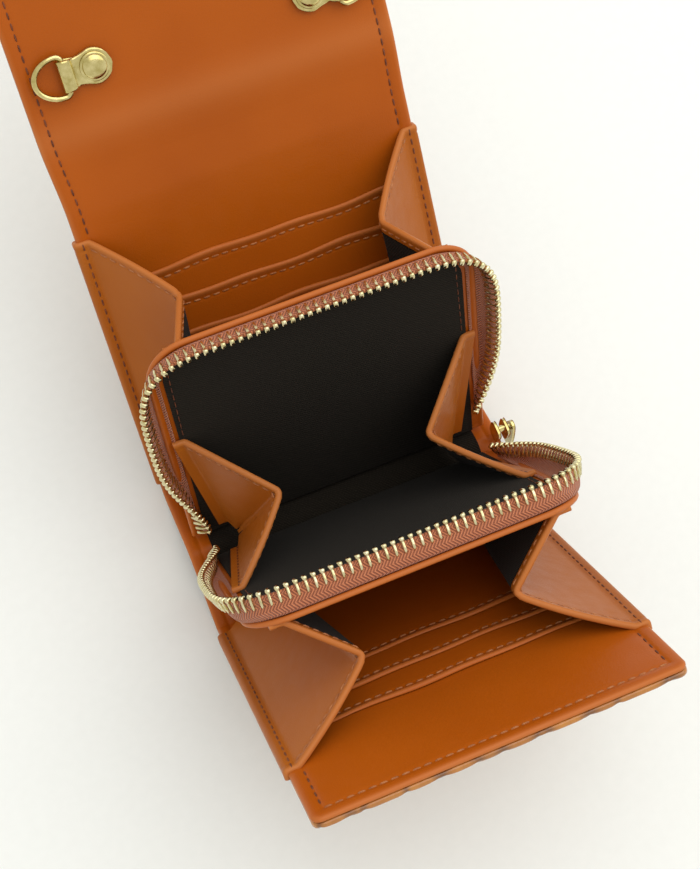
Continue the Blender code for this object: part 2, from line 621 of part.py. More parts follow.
# ---------------------------------------------------------------- hardware
def add_ring_set(hand, sign):
    """Ring tab folded round the D-ring's bar, its rivet, and the D-ring lying outwards."""
    slope, h = FLAP_TOP, RING_TAB_FROM_FOLD
    bar = RING_SIDE * sign
    wire = RING_WIRE / 2
    lift = RING_LIFT
    radius = wire + CLEARANCE
    waist = TAB_WIDTH / 2
    # folded tab, in (x, d): along the flap, round the bar, back on top
    inward = -sign
    sheet = [(inward * TAB_LENGTH, lift - radius - TAB_METAL / 2), (0, lift - radius - TAB_METAL / 2)]
    loop = radius + TAB_METAL / 2
    for step in range(1, TAB_LOOP_STEPS):
        turn = math.pi * step / TAB_LOOP_STEPS
        sheet.append((-inward * loop * math.sin(turn), lift - loop * math.cos(turn)))
    pressed = lift - loop + TAB_METAL + CLEARANCE
    sheet += [(0, lift + loop), (inward * 0.9, lift + loop),
              (inward * 2.4, pressed), (inward * TAB_LENGTH, pressed)]
    points = []
    for index, (x, d) in enumerate(sheet):
        ways = []
        if index > 0:
            ways.append((Vector((x, d)) - Vector(sheet[index - 1])).normalized())
        if index < len(sheet) - 1:
            ways.append((Vector(sheet[index + 1]) - Vector((x, d))).normalized())
        offs = [Vector((-way.y, way.x)) for way in ways]
        off = offs[0] if len(offs) == 1 else (offs[0] + offs[1]) / (1 + offs[0].dot(offs[1]))
        reach = abs(x) / TAB_LENGTH
        half = waist * (1 - 0.28 * math.sin(math.pi * min(reach * 1.6, 1)))
        for side, thick in ((-1, -0.5), (1, -0.5), (1, 0.5), (-1, 0.5)):
            dx, dd = off * TAB_METAL * thick
            points.append(slope.at(bar + x + dx, h + side * half, d + dd))
    add_piece("ring_tab_" + hand, "flap_top", "pale_gold", points, loft_faces(len(sheet), 4))
    top = pressed + TAB_METAL / 2 + CLEARANCE
    profile = [(RIVET_RADIUS, top), (RIVET_RADIUS, top + RIVET_HEIGHT * 0.35),
               (RIVET_RADIUS * 0.8, top + RIVET_HEIGHT * 0.8), (RIVET_RADIUS * 0.4, top + RIVET_HEIGHT)]
    add_disc("ring_rivet_" + hand, "flap_top", "pale_gold", slope,
             bar + inward * (TAB_LENGTH - RIVET_RADIUS - 1.0), h, profile)
    # D-ring: straight bar along the slope, bow outwards
    tall = RING_HEIGHT / 2 - wire
    deep = RING_DEPTH - RING_WIRE
    corner = RING_CORNER
    route = [(0, corner - tall), (0, -1), (0, 1), (0, tall - corner)]
    for step in range(RING_STEPS + 1):
        turn = math.pi / 2 - math.pi * step / RING_STEPS
        route.append((corner + (deep - corner) * math.cos(turn), tall * math.sin(turn)))
    line = [slope.at(bar + sign * x, h + s, lift) for x, s in route]
    add_tube("d_ring_" + hand, "ring_" + hand, "pale_gold", line, wire, 8, True)


def add_snap():
    """Magnetic snap: socket through the flap's lining, stud on the front of the cover."""
    d = CLEARANCE
    at = FLAP_END_LENGTH - SNAP_FROM_EDGE
    add_disc("snap_socket", "flap_end", "pale_gold", FLAP_END, 0, at,
             [(SNAP_RADIUS, d), (SNAP_RADIUS, d + SNAP_THICKNESS * 0.6),
              (SNAP_RADIUS - 0.8, d + SNAP_THICKNESS), (SNAP_RADIUS - 3.4, d + SNAP_THICKNESS)])
    out = -PANEL_OUT - CLEARANCE
    low = FRONT_HEIGHT - SNAP_AT_FRONT
    add_disc("snap_stud", "front_panel", "pale_gold", FRONT, 0, low,
             [(SNAP_RADIUS, out), (SNAP_RADIUS, out - 0.6), (SNAP_RADIUS - 0.8, out - 1.0),
              (2.4, out - 1.0), (2.2, out - 2.2), (1.4, out - 2.4)])


def build():
    add_panel("front", FRONT, "front_panel", FRONT_HEIGHT)
    add_card_slots("front", FRONT, "front_panel")
    add_base()
    add_back_and_flap()
    add_card_slots("back", BACK, "back_panel")
    add_zip_half("front", ZIP_FRONT, "zip_front", *ZIP_FRONT_ROW)
    add_zip_half("back", ZIP_BACK, "root", *ZIP_BACK_ROW)
    add_slider()
    add_gussets()
    add_ring_set("left", -1)
    add_ring_set("right", 1)
    add_snap()


clear_scene()
MATERIALS = make_materials()
PIVOTS = make_pivots()
build()
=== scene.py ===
"""Looks of a flap wallet that stands open like a fan: leather, twill, zip and metal on the frame.

Sizes are in millimetres in the frame's own axes, and add_mesh turns them into metres. Positions
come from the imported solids: each Wall below is measured from one of them.
"""
import json
import math

import bmesh
import bpy
import numpy as np
from mathutils import Matrix, Vector


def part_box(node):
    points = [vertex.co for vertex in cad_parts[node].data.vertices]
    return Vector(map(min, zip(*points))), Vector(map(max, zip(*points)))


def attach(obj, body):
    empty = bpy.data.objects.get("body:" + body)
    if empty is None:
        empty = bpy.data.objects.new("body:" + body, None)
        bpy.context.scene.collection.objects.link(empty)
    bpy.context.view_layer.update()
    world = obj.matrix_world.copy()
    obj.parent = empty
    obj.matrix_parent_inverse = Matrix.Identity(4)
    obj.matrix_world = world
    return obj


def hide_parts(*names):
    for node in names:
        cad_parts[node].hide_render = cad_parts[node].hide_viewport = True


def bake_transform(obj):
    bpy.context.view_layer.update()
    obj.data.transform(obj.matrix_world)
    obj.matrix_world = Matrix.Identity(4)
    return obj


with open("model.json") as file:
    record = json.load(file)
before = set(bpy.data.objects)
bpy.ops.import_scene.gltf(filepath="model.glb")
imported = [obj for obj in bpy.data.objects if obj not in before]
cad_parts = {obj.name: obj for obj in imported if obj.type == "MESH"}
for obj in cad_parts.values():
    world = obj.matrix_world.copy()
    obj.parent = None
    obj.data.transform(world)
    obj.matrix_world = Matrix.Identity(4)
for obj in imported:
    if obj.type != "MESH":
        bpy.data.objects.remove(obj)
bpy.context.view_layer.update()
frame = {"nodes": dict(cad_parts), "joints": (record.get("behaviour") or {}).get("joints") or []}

MM = 0.001
PIVOT = {j["name"]: np.array(j["pos_m"]) / MM for j in frame["joints"] if "pos_m" in j}


def half_width(node):
    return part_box(node)[1][0] / MM


# ---------------------------------------------------------------- sizes, millimetres
HALF = half_width("front_outer")          # cover
FLAP_HALF = half_width("flap_top_outer")
ZIP_HALF = half_width("zip_front_wall")
PANEL_OUT = 3.2            # inner face to outer face of a panel
LINING = 0.8
CLEARANCE = 0.3
SLOT_LEATHER = 0.7
WALL_LEATHER = 1.4
CLOTH_START = 1.0          # twill from the middle of the zip wall
CLOTH_END = 1.5
FOLD_GAP = 1.3             # stiff leather starts this far from a fold of the flap
FOLD_FLAT = 2.4
COVER_THICK_AT_BASE = 2.3  # outer face to lining, under the zip compartment
INNER_FLOOR = 3.0          # the lining's lowest line, where a panel's face meets the base
INNER_FOOT_RADIUS = 1.5
BASE_FOLD_RADIUS = 4
MIDDLE_FOLD_RADIUS = 5
FLAP_RADII = (30, 12, 9)   # bend of the back panel, and the two folds of the flap
FRONT_HEIGHT = 118.8
BACK_BEND_HEIGHT = 103.0
FLAP_FOLD_HEIGHT = 127.0
FLAP_END_LENGTH = 52.0
ZIP_BASE_LIFT = 4.1
ZIP_LOW = 8.0
ZIP_FLOOR_REACH = 8.0      # twill on the base, either side of its middle
ZIP_HEIGHT = 94.1
CORNER_RADIUS = 3.0
ZIP_CORNER_RADIUS = 13.0
FLAP_CORNER_RADIUS = 12.0
FLARE = 24                 # stretch below the flap's fold over which the cover widens
OUTER_THICKNESS = 1.45     # embossed leather, inwards from the outer route
SCALE_CROWN = 0.30         # crown of a scale outside the route
SCALE_DEPTH = 0.5          # and the valley below that crown
SCALE_WIDE, SCALE_TALL = 11.5, 7.6
LINING_THICKNESS = 1.05
EDGE_TURN = 0.25           # the leather thickens at its turned edge
TURN_WIDTH = 4
SEAM_RELIEF = 0.22         # rim inside an edge, and dent along a seam
RIM_FROM_EDGE = 2.0
FOLD_RIDGE = 0.9           # soft ridge of the lining along the flap's first fold
CARD_SLOT_HEIGHTS = (80.4, 69.5, 58.4)
CARD_SLOT_HALF = 44.0
CARD_SLOT_BOTTOM = 12.0
SLOT_SEAM = 2.9            # seam below a slot's edge
SLOT_FACE = 0.75 * SLOT_LEATHER
SLOT_SWELL = 0.25

# gussets
SEAM = 3.45                # fold of a pocket gusset from the panel's edge
POCKET_GUSSET_LOW = 10.0
POCKET_GUSSET_FRONT = 94.4
POCKET_GUSSET_BACK = 96.1
POCKET_GUSSET_ZIP = 92.0
POCKET_PEAK_HEIGHTS = (90.5, 85.5)
POCKET_PEAK_LOW = (11.0, 7.0)
FRONT_PEAK = (30.4, 20.5)  # peak of the pleat in from the cover's edge, at the top and low down
BACK_PEAK = (21.5, 17.5)
ZIP_PEAK = (29.4, 17.5)
FRONT_WALL_FOLD = 9.8      # fold on the zip wall from that wall's edge
BACK_WALL_FOLD = 11.1
ZIP_WALL_FOLD = (5.3, 12.0)
ZIP_GUSSET_LOW = 12.0
ZIP_GUSSET_HEIGHT = 55.9
ZIP_PEAK_HEIGHT = 51.5
GUSSET_OUT = 0.8           # leather face of a gusset from its pleat's surface
GUSSET_IN = 0.42           # and its flesh side, with the twill sewn to it
TWILL_NEAR, TWILL_FAR = 0.46, 0.86
GUSSET_SEAM = 2.4          # seam below a gusset's upper edge
FOLD_HIGHLIGHT = 0.5            # painted highlight on the flap's first fold: how far its colour is lightened
BLEND_MARGIN = 0.05        # share of a pocket gusset's width left off each end of its blend line
BAND = 4.0                 # turned leather along a gusset's upper edge, on the twill side

# zip
TOOTH_PITCH = 2.5
TOOTH_REACH = 1.2
TAPE = 0.6
TOOTH_DIP = math.radians(24)
ROW_EASE = 3               # teeth either side that ease a corner of the row
TAPE_DOME = 2.6            # tape stands this far off the straight line to its teeth
TAPE_ROOT_INSET = 3.0
TAPE_STATIONS = (          # shares of the tape's width, closer together at its corded edge
    0, 0.06, 0.13, 0.2, 0.28, 0.37, 0.46, 0.55, 0.64, 0.72, 0.8, 0.86, 0.91, 0.95, 0.98, 1.0)
CORD_HALF = 0.8            # cord along the tape's edge: half its width, and its height
CORD_RISE = 0.40
CLOTH_INSET = 4.4
ZIP_FRONT_ROW = (1.18, 4.5)  # share of the room between the closed walls, and flare at the sides
ZIP_BACK_ROW = (0.82, 4.0)
WALL_SEAM = 3.1            # seam of the tape, in from the wall's edge
WALL_RELIEF = 0.16         # rim outside that seam, and dent along it
ROW_END_LEFT = 12.0        # lower ends of the row of teeth
ROW_END_RIGHT = 21.0
ROW_TUCK = 4.5             # the row's lower ends are drawn in over the wall's edge by this much
ROW_TUCK_FROM = 14.0       # up to this height, and back out over the rise
ROW_TUCK_RISE = 34.0
OPEN_ANGLE = 49.0          # between the zip walls
CLOSED_ANGLE = 44.5        # of which this much closes

# sewing
STITCH_PITCH = 3.0
STITCH_LENGTH = 2.35
THREAD = 0.27              # radius
STITCH_FROM_EDGE = 4.0
STITCH_SUNK = 0.14         # the cover's thread lies in the dent of its seam
FLAP_SEAM_CORNER = 9       # the free edge's seam starts this far down the flap's sides


class Wall:
    """A leaning CAD plate: x across, h up it from where its face meets base, d inwards off it."""

    def __init__(self, node, inside, face=0.0, base=0.0, low=None):
        spots = np.array([v.co[1:] for v in frame["nodes"][node].data.vertices]) / MM
        centre = spots.mean(axis=0)
        up = np.linalg.svd(spots - centre)[2][0]
        up = up * math.copysign(1, up[1])
        inward = inside * np.array((up[1], -up[0]))
        centre = centre + inward * ((spots @ inward).max() - face - centre @ inward)
        rise = (spots @ up).min() - low - centre @ up if low is not None \
            else (base - centre[1]) / up[1]
        self.origin = np.array((0, *(centre + up * rise)))
        self.up = np.array((0, *up))
        self.inward = np.array((0, *inward))

    def at(self, x, h, d=0.0):
        return self.origin + np.array((x, 0, 0)) + self.up * h + self.inward * d


FRONT = Wall("front_lining", 1)
BACK = Wall("back_board", -1, face=-LINING - CLEARANCE)
ZIP_FRONT = Wall("zip_front_wall", 1, face=WALL_LEATHER / 2, base=ZIP_BASE_LIFT)
ZIP_BACK = Wall("zip_back_wall", -1, face=WALL_LEATHER / 2, base=ZIP_BASE_LIFT)
FLAP_TOP = Wall("flap_top_lining", -1, low=FOLD_GAP)
FLAP_END = Wall("flap_end_lining", -1, low=FOLD_GAP)


# ---------------------------------------------------------------- materials
def new_material(name):
    material = bpy.data.materials.new(name)
    material.use_nodes = True
    return material, Graph(material.node_tree)


class Graph:
    """Short hand for building a node tree: every call returns the new node's first output."""

    def __init__(self, tree):
        self.tree = tree
        self.shader = tree.nodes["Principled BSDF"]

    def node(self, kind, inputs=(), output=0, **settings):
        made = self.tree.nodes.new(kind)
        for key, value in settings.items():
            setattr(made, key, value)
        for key, value in dict(inputs).items():
            if isinstance(value, bpy.types.NodeSocket):
                self.tree.links.new(value, made.inputs[key])
            else:
                made.inputs[key].default_value = value
        return made.outputs[output]

    def sewn(self):
        """Coordinates in millimetres on the piece's own surface."""
        return self.node("ShaderNodeUVMap", uv_map="UVMap")

    def solid(self):
        return self.node("ShaderNodeTexCoord", output=3)

    def math(self, operation, a, b=0.0, c=0.0):
        return self.node("ShaderNodeMath", {0: a, 1: b, 2: c}, operation=operation)

    def noise(self, where, scale, detail=2.0, roughness=0.5):
        return self.node("ShaderNodeTexNoise", {"Vector": where, "Scale": scale, "Detail": detail,
                                                "Roughness": roughness})

    def ramp(self, value, low, high, to_low=0.0, to_high=1.0):
        return self.node("ShaderNodeMapRange", {0: value, 1: low, 2: high, 3: to_low, 4: to_high})

    def mix(self, factor, first, second):
        return self.node("ShaderNodeMix", {0: factor, 6: first, 7: second}, output=2,
                         data_type="RGBA")

    def attribute(self, name):
        return self.node("ShaderNodeAttribute", output=2, attribute_name=name)

    def bump(self, height, distance, strength=1.0, before=None):
        inputs = {"Height": height, "Distance": distance, "Strength": strength}
        if before is not None:
            inputs["Normal"] = before
        return self.node("ShaderNodeBump", inputs)

    def set(self, **values):
        """Principled inputs, with _ for the space in a name."""
        for key, value in values.items():
            key = key.replace("_", " ")
            if isinstance(value, bpy.types.NodeSocket):
                self.tree.links.new(value, self.shader.inputs[key])
            else:
                self.shader.inputs[key].default_value = value


def leather(name, base, deep, edge_highlight, rough):
    """Smooth coated leather: fine pores, soft clouding, and a painted highlight along its edges."""
    material, g = new_material(name)
    where = g.sewn()
    clouds = g.noise(where, 0.03, 2.0, 0.5)
    colour = g.mix(g.ramp(clouds, 0.25, 0.75), deep, base)
    # painted highlight: the rim mark lightens the colour along edges and the flap's fold
    colour = g.mix(g.math("MULTIPLY", g.attribute("rim"), 0.55), colour, edge_highlight)
    pores = g.node("ShaderNodeTexVoronoi", {"Vector": where, "Scale": 1.7}, feature="F1")
    colour = g.mix(g.ramp(pores, 0.0, 0.16, 0.12, 0.0), colour, deep)
    grain = g.noise(where, 2.6, 4.0, 0.6)
    normal = g.bump(g.ramp(pores, 0.0, 0.5), 0.00004, 0.5)
    normal = g.bump(grain, 0.00006, 0.5, normal)
    normal = g.bump(g.noise(where, 0.09, 2.0), 0.0004, 0.3, normal)
    g.set(Base_Color=colour, Normal=normal,
          Roughness=g.ramp(g.noise(where, 0.22, 3.0), 0.3, 0.7, rough - 0.05, rough + 0.07),
          Specular_IOR_Level=0.16)
    return material


def croc():
    """Glazed embossed leather: amber scales, darker in the valleys between them."""
    material, g = new_material("croc_leather")
    where = g.sewn()
    valley = g.attribute("valley")
    tint = g.noise(where, 0.09, 3.0, 0.6)
    scale = g.mix(g.ramp(tint, 0.35, 0.65), (0.30, 0.088, 0.007, 1), (0.50, 0.185, 0.018, 1))
    colour = g.mix(g.ramp(valley, 0.15, 1.0), scale, (0.095, 0.022, 0.003, 1))
    # painted highlight: a little lighter along the edges, by the rim mark
    colour = g.mix(g.math("MULTIPLY", g.attribute("rim"), 0.12), colour, (0.66, 0.33, 0.07, 1))
    creases = g.node("ShaderNodeTexVoronoi", {"Vector": where, "Scale": 0.55},
                     feature="DISTANCE_TO_EDGE")
    normal = g.bump(g.ramp(creases, 0.0, 0.09), 0.00008, 0.35)
    normal = g.bump(g.noise(where, 1.4, 3.0), 0.00006, 0.4, normal)
    g.set(Base_Color=colour, Normal=normal, Coat_Weight=0.6, Coat_Roughness=0.06,
          Roughness=g.ramp(g.noise(where, 0.3, 2.0), 0.3, 0.7, 0.2, 0.32))
    return material


def twill():
    """Dark cotton twill: a fine diagonal rib with flecks of lighter yarn."""
    material, g = new_material("dark_twill")
    where = g.sewn()
    rib = g.node("ShaderNodeTexWave", {"Vector": where, "Scale": 0.62, "Distortion": 1.2,
                                       "Detail": 2.0, "Detail Scale": 2.0},
                 output=1, bands_direction="DIAGONAL")
    flecks = g.noise(where, 3.4, 3.0, 0.7)
    colour = g.mix(g.ramp(flecks, 0.35, 0.75), (0.010, 0.008, 0.0056, 1), (0.034, 0.027, 0.019, 1))
    colour = g.mix(g.ramp(rib, 0.0, 0.5, 0.5, 0.0), colour, (0.003, 0.0025, 0.002, 1))
    normal = g.bump(rib, 0.00012, 0.7)
    normal = g.bump(flecks, 0.00008, 0.6, normal)
    g.set(Base_Color=colour, Normal=normal, Sheen_Weight=0.03, Sheen_Roughness=0.5,
          Specular_IOR_Level=0.1, Roughness=g.ramp(flecks, 0.2, 0.8, 0.88, 0.98))
    return material


def tape_cloth():
    """Woven zip tape: herringbone, so the ribs lean one way and then the other across it."""
    material, g = new_material("zip_tape")
    where = g.sewn()
    parts = g.node("ShaderNodeSeparateXYZ", {0: where})
    across = parts.node.outputs[1]
    zigzag = g.math("PINGPONG", across, 1.6)
    slant = g.math("ADD", g.math("MULTIPLY", parts, 1.0), g.math("MULTIPLY", zigzag, 0.9))
    wave = g.math("SINE", g.math("MULTIPLY", slant, 2 * math.pi / 1.0))
    yarn = g.noise(where, 3.0, 2.0, 0.6)
    rib = g.math("ADD", wave, g.math("MULTIPLY", yarn, 1.6))
    colour = g.mix(g.ramp(rib, -0.5, 1.5), (0.20, 0.040, 0.014, 1), (0.60, 0.20, 0.085, 1))
    normal = g.bump(rib, 0.00016, 1.0)
    g.set(Base_Color=colour, Normal=normal, Sheen_Weight=0.2, Sheen_Roughness=0.4,
          Roughness=g.ramp(yarn, 0.2, 0.8, 0.62, 0.8))
    return material


def thread(name, light, dark):
    """Twisted polyester thread."""
    material, g = new_material(name)
    where = g.sewn()
    twist = g.node("ShaderNodeTexWave", {"Vector": where, "Scale": 1.1, "Distortion": 0.6},
                   output=1, bands_direction="DIAGONAL")
    tint = g.noise(where, 0.5, 2.0)
    colour = g.mix(g.ramp(tint, 0.35, 0.65), dark, light)
    g.set(Base_Color=colour, Normal=g.bump(twist, 0.00008, 0.8),
          Roughness=g.ramp(twist, 0.0, 1.0, 0.5, 0.65))
    return material


def metal(name, base, deep, rough):
    """Plated zinc: fine scratches, and the plating a little darker where it isn't rubbed."""
    material, g = new_material(name)
    where = g.solid()
    tone = g.noise(where, 420.0, 3.0, 0.6)
    scratch = g.noise(g.node("ShaderNodeMapping", {"Vector": where, "Scale": (1.0, 14.0, 3.0)}),
                      700.0, 3.0, 0.7)
    g.set(Base_Color=g.mix(g.ramp(tone, 0.3, 0.7), deep, base), Metallic=1.0,
          Normal=g.bump(scratch, 0.00002, 0.35),
          Roughness=g.ramp(scratch, 0.3, 0.7, rough - 0.06, rough + 0.1))
    return material


def board():
    """Grey bonded board, seen only where a panel is taken apart."""
    material, g = new_material("stiffener")
    fibres = g.noise(g.solid(), 900.0, 4.0, 0.7)
    g.set(Base_Color=g.mix(g.ramp(fibres, 0.3, 0.7), (0.36, 0.34, 0.31, 1), (0.52, 0.5, 0.46, 1)),
          Normal=g.bump(fibres, 0.0001, 0.5), Roughness=g.ramp(fibres, 0.2, 0.8, 0.8, 0.95))
    return material


# third colour of each leather: the painted highlight along edges and the fold
TAN = leather("tan_leather", (0.43, 0.092, 0.0045, 1), (0.39, 0.080, 0.0035, 1),
              (0.56, 0.19, 0.055, 1), 0.34)
GUSSET = leather("gusset_leather", (0.42, 0.118, 0.0105, 1), (0.37, 0.097, 0.0075, 1),
                 (0.60, 0.22, 0.07, 1), 0.34)
CROC = croc()
TWILL = twill()
TAPE_CLOTH = tape_cloth()
TAN_THREAD = thread("tan_thread", (0.50, 0.19, 0.06, 1), (0.32, 0.095, 0.022, 1))
DARK_THREAD = thread("dark_thread", (0.22, 0.055, 0.014, 1), (0.10, 0.022, 0.006, 1))
GOLD = metal("pale_gold", (0.74, 0.63, 0.29, 1), (0.50, 0.41, 0.14, 1), 0.17)
TOOTH_GOLD = metal("zip_gold", (0.84, 0.77, 0.50, 1), (0.60, 0.52, 0.25, 1), 0.2)
BOARD = board()


# ---------------------------------------------------------------- meshes
def add_mesh(name, material, points, faces, uv=None, attributes=None, sharp=55):
    """One piece from points in millimetres, its faces turned outwards."""
    mesh = bpy.data.meshes.new(name)
    mesh.from_pydata((np.asarray(points) * MM).tolist(), [], faces)
    if uv is not None:
        layer = mesh.uv_layers.new(name="UVMap")
        corner = np.zeros(len(mesh.loops), int)
        mesh.loops.foreach_get("vertex_index", corner)
        layer.data.foreach_set("uv", np.asarray(uv)[corner].ravel())
    for key, values in (attributes or {}).items():
        mesh.attributes.new(key, "FLOAT", "POINT").data.foreach_set("value", np.ravel(values))
    work = bmesh.new()
    work.from_mesh(mesh)
    bmesh.ops.recalc_face_normals(work, faces=work.faces)
    work.to_mesh(mesh)
    work.free()
    mesh.shade_smooth()
    mesh.set_sharp_from_angle(angle=math.radians(sharp))
    mesh.materials.append(material)
    piece = bpy.data.objects.new(name, mesh)
    bpy.context.collection.objects.link(piece)
    return piece


def add_shell(name, material, grid, normals, near, far, uv, attributes=None):
    """A closed sheet: a grid of points, thickened from far to near along its normals."""
    rows, columns = near.shape
    points = np.concatenate([(grid + normals * near[..., None]).reshape(-1, 3),
                             (grid + normals * far[..., None]).reshape(-1, 3)])
    index = np.arange(rows * columns).reshape(rows, columns)
    back = index + rows * columns
    quads = [np.stack([index[:-1, :-1], index[:-1, 1:], index[1:, 1:], index[1:, :-1]], -1),
             np.stack([back[:-1, :-1], back[1:, :-1], back[1:, 1:], back[:-1, 1:]], -1)]
    ring = np.concatenate([index[0, :-1], index[:-1, -1], index[-1, :0:-1], index[:0:-1, 0]])
    after = np.roll(ring, -1)
    quads.append(np.stack([after, ring, ring + rows * columns, after + rows * columns], -1))
    faces = np.concatenate([q.reshape(-1, 4) for q in quads]).tolist()
    both = {key: np.concatenate([np.ravel(v), np.ravel(v)])
            for key, v in (attributes or {}).items()}
    flat = uv.reshape(-1, 2)
    return add_mesh(name, material, points, faces, np.concatenate([flat, flat]), both)


def ring_faces(rings, sides, first=0):
    """Quads between rings of points that follow each other, from the point numbered first."""
    faces = []
    for ring in range(rings - 1):
        for k in range(sides):
            a, b = first + ring * sides + k, first + ring * sides + (k + 1) % sides
            faces.append((a, b, b + sides, a + sides))
    return faces


def turns_of(count):
    """Angles evenly round a circle."""
    return np.linspace(0, 2 * math.pi, count, endpoint=False)


def squared(value, power):
    """A sine or cosine pushed outwards, which makes a circle squarer."""
    return math.copysign(abs(value) ** power, value)


def grid_normals(grid):
    across = np.gradient(grid, axis=1)
    along = np.gradient(grid, axis=0)
    return unit(np.cross(across, along))


def smooth_step(value):
    value = np.clip(value, 0, 1)
    return value * value * (3 - 2 * value)


def rounding(edge, radius):
    """How much a face drops towards a rounded edge, at a distance from it."""
    inside = np.clip(1 - edge / radius, 0, 0.97)
    return radius * (1 - np.sqrt(1 - inside * inside))


def bell(value, width):
    return np.exp(-(value / width) ** 2)


ARC_STEP = 7               # degrees, in a rounded corner of a route
EDGE_STEPS = (0, 0.1, 0.3, 0.6, 1.0, 1.6, 2.4, 3.1, 3.6, 4.0, 4.4, 4.9, 6.0, 8.0)


def spread(length, step, low_edge, high_edge):
    """Stations from 0 to length, close together near the ends that have an edge."""
    low = [e for e in EDGE_STEPS if e < length / 2] if low_edge else [0]
    high = [length - e for e in EDGE_STEPS if e < length / 2][::-1] if high_edge else [length]
    count = max(int(math.ceil((high[0] - low[-1]) / step)), 1)
    between = np.linspace(low[-1], high[0], count + 1)[1:-1]
    return np.array(low + list(between) + high)


def edge_distance(x, h, half, low, high, low_radius=None, high_radius=None):
    """Distance in from a rounded outline; a radius of None leaves that end open."""
    side = half - np.abs(x)
    distance = side.copy()
    for gap, radius in ((h - low, low_radius), (high - h, high_radius)):
        if radius is None:
            continue
        corner = (side < radius) & (gap < radius)
        round_in = radius - np.hypot(radius - side, radius - gap)
        distance = np.minimum(distance, np.where(corner, round_in, gap))
    return np.maximum(distance, 0)


def narrowing(h, low, high, low_radius=None, high_radius=None):
    """How far the sides of a rounded outline come in at a height."""
    total = np.zeros_like(h)
    for gap, radius in ((h - low, low_radius), (high - h, high_radius)):
        if radius:
            near = np.clip(radius - gap, 0, radius)
            total += radius - np.sqrt(np.maximum(radius ** 2 - near ** 2, 0))
    return total


def side_to_side(half, along, full, step):
    """Grid of x and along: the stations near each side keep their distance from it."""
    base_x = spread(2 * full, step, True, True) - full
    inner = full - EDGE_STEPS[-1]
    middle = np.abs(base_x) <= inner
    x = np.where(middle[None, :], base_x[None, :] * ((half - EDGE_STEPS[-1]) / inner)[:, None],
                 np.sign(base_x)[None, :] * (half[:, None] - (full - np.abs(base_x))[None, :]))
    return x, np.repeat(along[:, None], len(base_x), axis=1)


def unit(vectors):
    """Vectors of length 1, along the last axis."""
    return vectors / np.linalg.norm(vectors, axis=-1, keepdims=True)


def run_of(line):
    """Length along a line of points up to each of them."""
    return np.concatenate([[0], np.cumsum(np.linalg.norm(np.diff(line, axis=0), axis=1))])


def sample(at, run, line):
    """Points of a line at lengths along it."""
    return np.stack([np.interp(at, run, line[:, i]) for i in range(line.shape[1])], -1)


def corner_curve(before, here, after, reach, count):
    """Rounded corner as a short parabola between the two legs."""
    back, on = before - here, after - here
    back, on = unit(back), unit(on)
    t = np.linspace(0, 1, count)[:, None]
    return here + back * reach * (1 - t) ** 2 + on * reach * t ** 2


class Route:
    """A line in the (Y, Z) plane with rounded corners, followed by its length s."""

    def __init__(self, corners, radii, side):
        corners = [np.array(c[-2:], float) for c in corners]
        spots = [corners[0]]
        for index in range(1, len(corners) - 1):
            here, radius = corners[index], radii[index - 1]
            back = corners[index - 1] - here
            on = corners[index + 1] - here
            back, on = unit(back), unit(on)
            opening = math.acos(np.clip(back @ on, -1, 1))
            reach = radius / math.tan(opening / 2)
            centre = here + unit(back + on) * radius / math.sin(opening / 2)
            first, last = here + back * reach - centre, here + on * reach - centre
            turn = math.pi - opening
            sense = math.copysign(1, first[0] * last[1] - first[1] * last[0])
            steps = max(int(math.degrees(turn) / ARC_STEP), 2)
            for step in range(steps + 1):
                a = sense * turn * step / steps
                spots.append(centre + np.array((first[0] * math.cos(a) - first[1] * math.sin(a),
                                                first[0] * math.sin(a) + first[1] * math.cos(a))))
        spots.append(corners[-1])
        self.spots = np.array(spots)
        self.s = run_of(self.spots)
        ways = np.gradient(self.spots, self.s, axis=0, edge_order=1)
        self.normals = side * np.stack([-ways[:, 1], ways[:, 0]], -1)
        self.length = self.s[-1]

    def follow(self, s):
        """Points and normals, as (n, 2) arrays."""
        return sample(s, self.s, self.spots), unit(sample(s, self.s, self.normals))

    def nearest(self, spot):
        """Length along the route of the place nearest to a point."""
        s = np.linspace(0, self.length, 4000)
        gaps = np.linalg.norm(self.follow(s)[0] - np.array(spot)[-2:], axis=1)
        return float(s[gaps.argmin()])

    def place(self, x, s, d):
        spots, normals = self.follow(np.asarray(s, float))
        spots = spots + normals * np.asarray(d, float)[..., None]
        return np.concatenate([np.asarray(x, float)[..., None], spots], -1)


# ---------------------------------------------------------------- the cover
def offset_corner(before, here, after, off):
    """Corner of the line that runs off beside the line before-here-after."""
    first, last = unit(here - before), unit(after - here)
    n1, n2 = np.array((-first[1], first[0])), np.array((-last[1], last[0]))
    return here + (n1 + n2) / (1 + n1 @ n2) * off


def line_at_height(wall, d, z):
    start = wall.at(0, 0, d)
    return start + wall.up * (z - start[2]) / wall.up[2]


FRONT_FOLD = PIVOT["front_pocket_open"]
BACK_FOLD = PIVOT["back_pocket_open"]
MIDDLE_FOLD = PIVOT["zip_open"]
MIDDLE_UNDER = np.array((0, MIDDLE_FOLD[1] - 0.5, MIDDLE_FOLD[2] - FOLD_FLAT))
BEND = BACK.at(0, BACK_BEND_HEIGHT)
FLAP_FOLD = FLAP_TOP.at(0, 0)
FLAP_END_FOLD = FLAP_END.at(0, 0)
FREE_EDGE = FLAP_END.at(0, FLAP_END_LENGTH)


def cover_corners(d):
    """Bends of the back and flap at a distance off the inner face, and the free edge."""
    inner = [p[1:] for p in (BACK.at(0, 0), BEND, FLAP_FOLD, FLAP_END_FOLD, FREE_EDGE)]
    bends = [offset_corner(inner[i - 1], inner[i], inner[i + 1], d) for i in (1, 2, 3)]
    return bends + [FLAP_END.at(0, FLAP_END_LENGTH, d)[1:]]


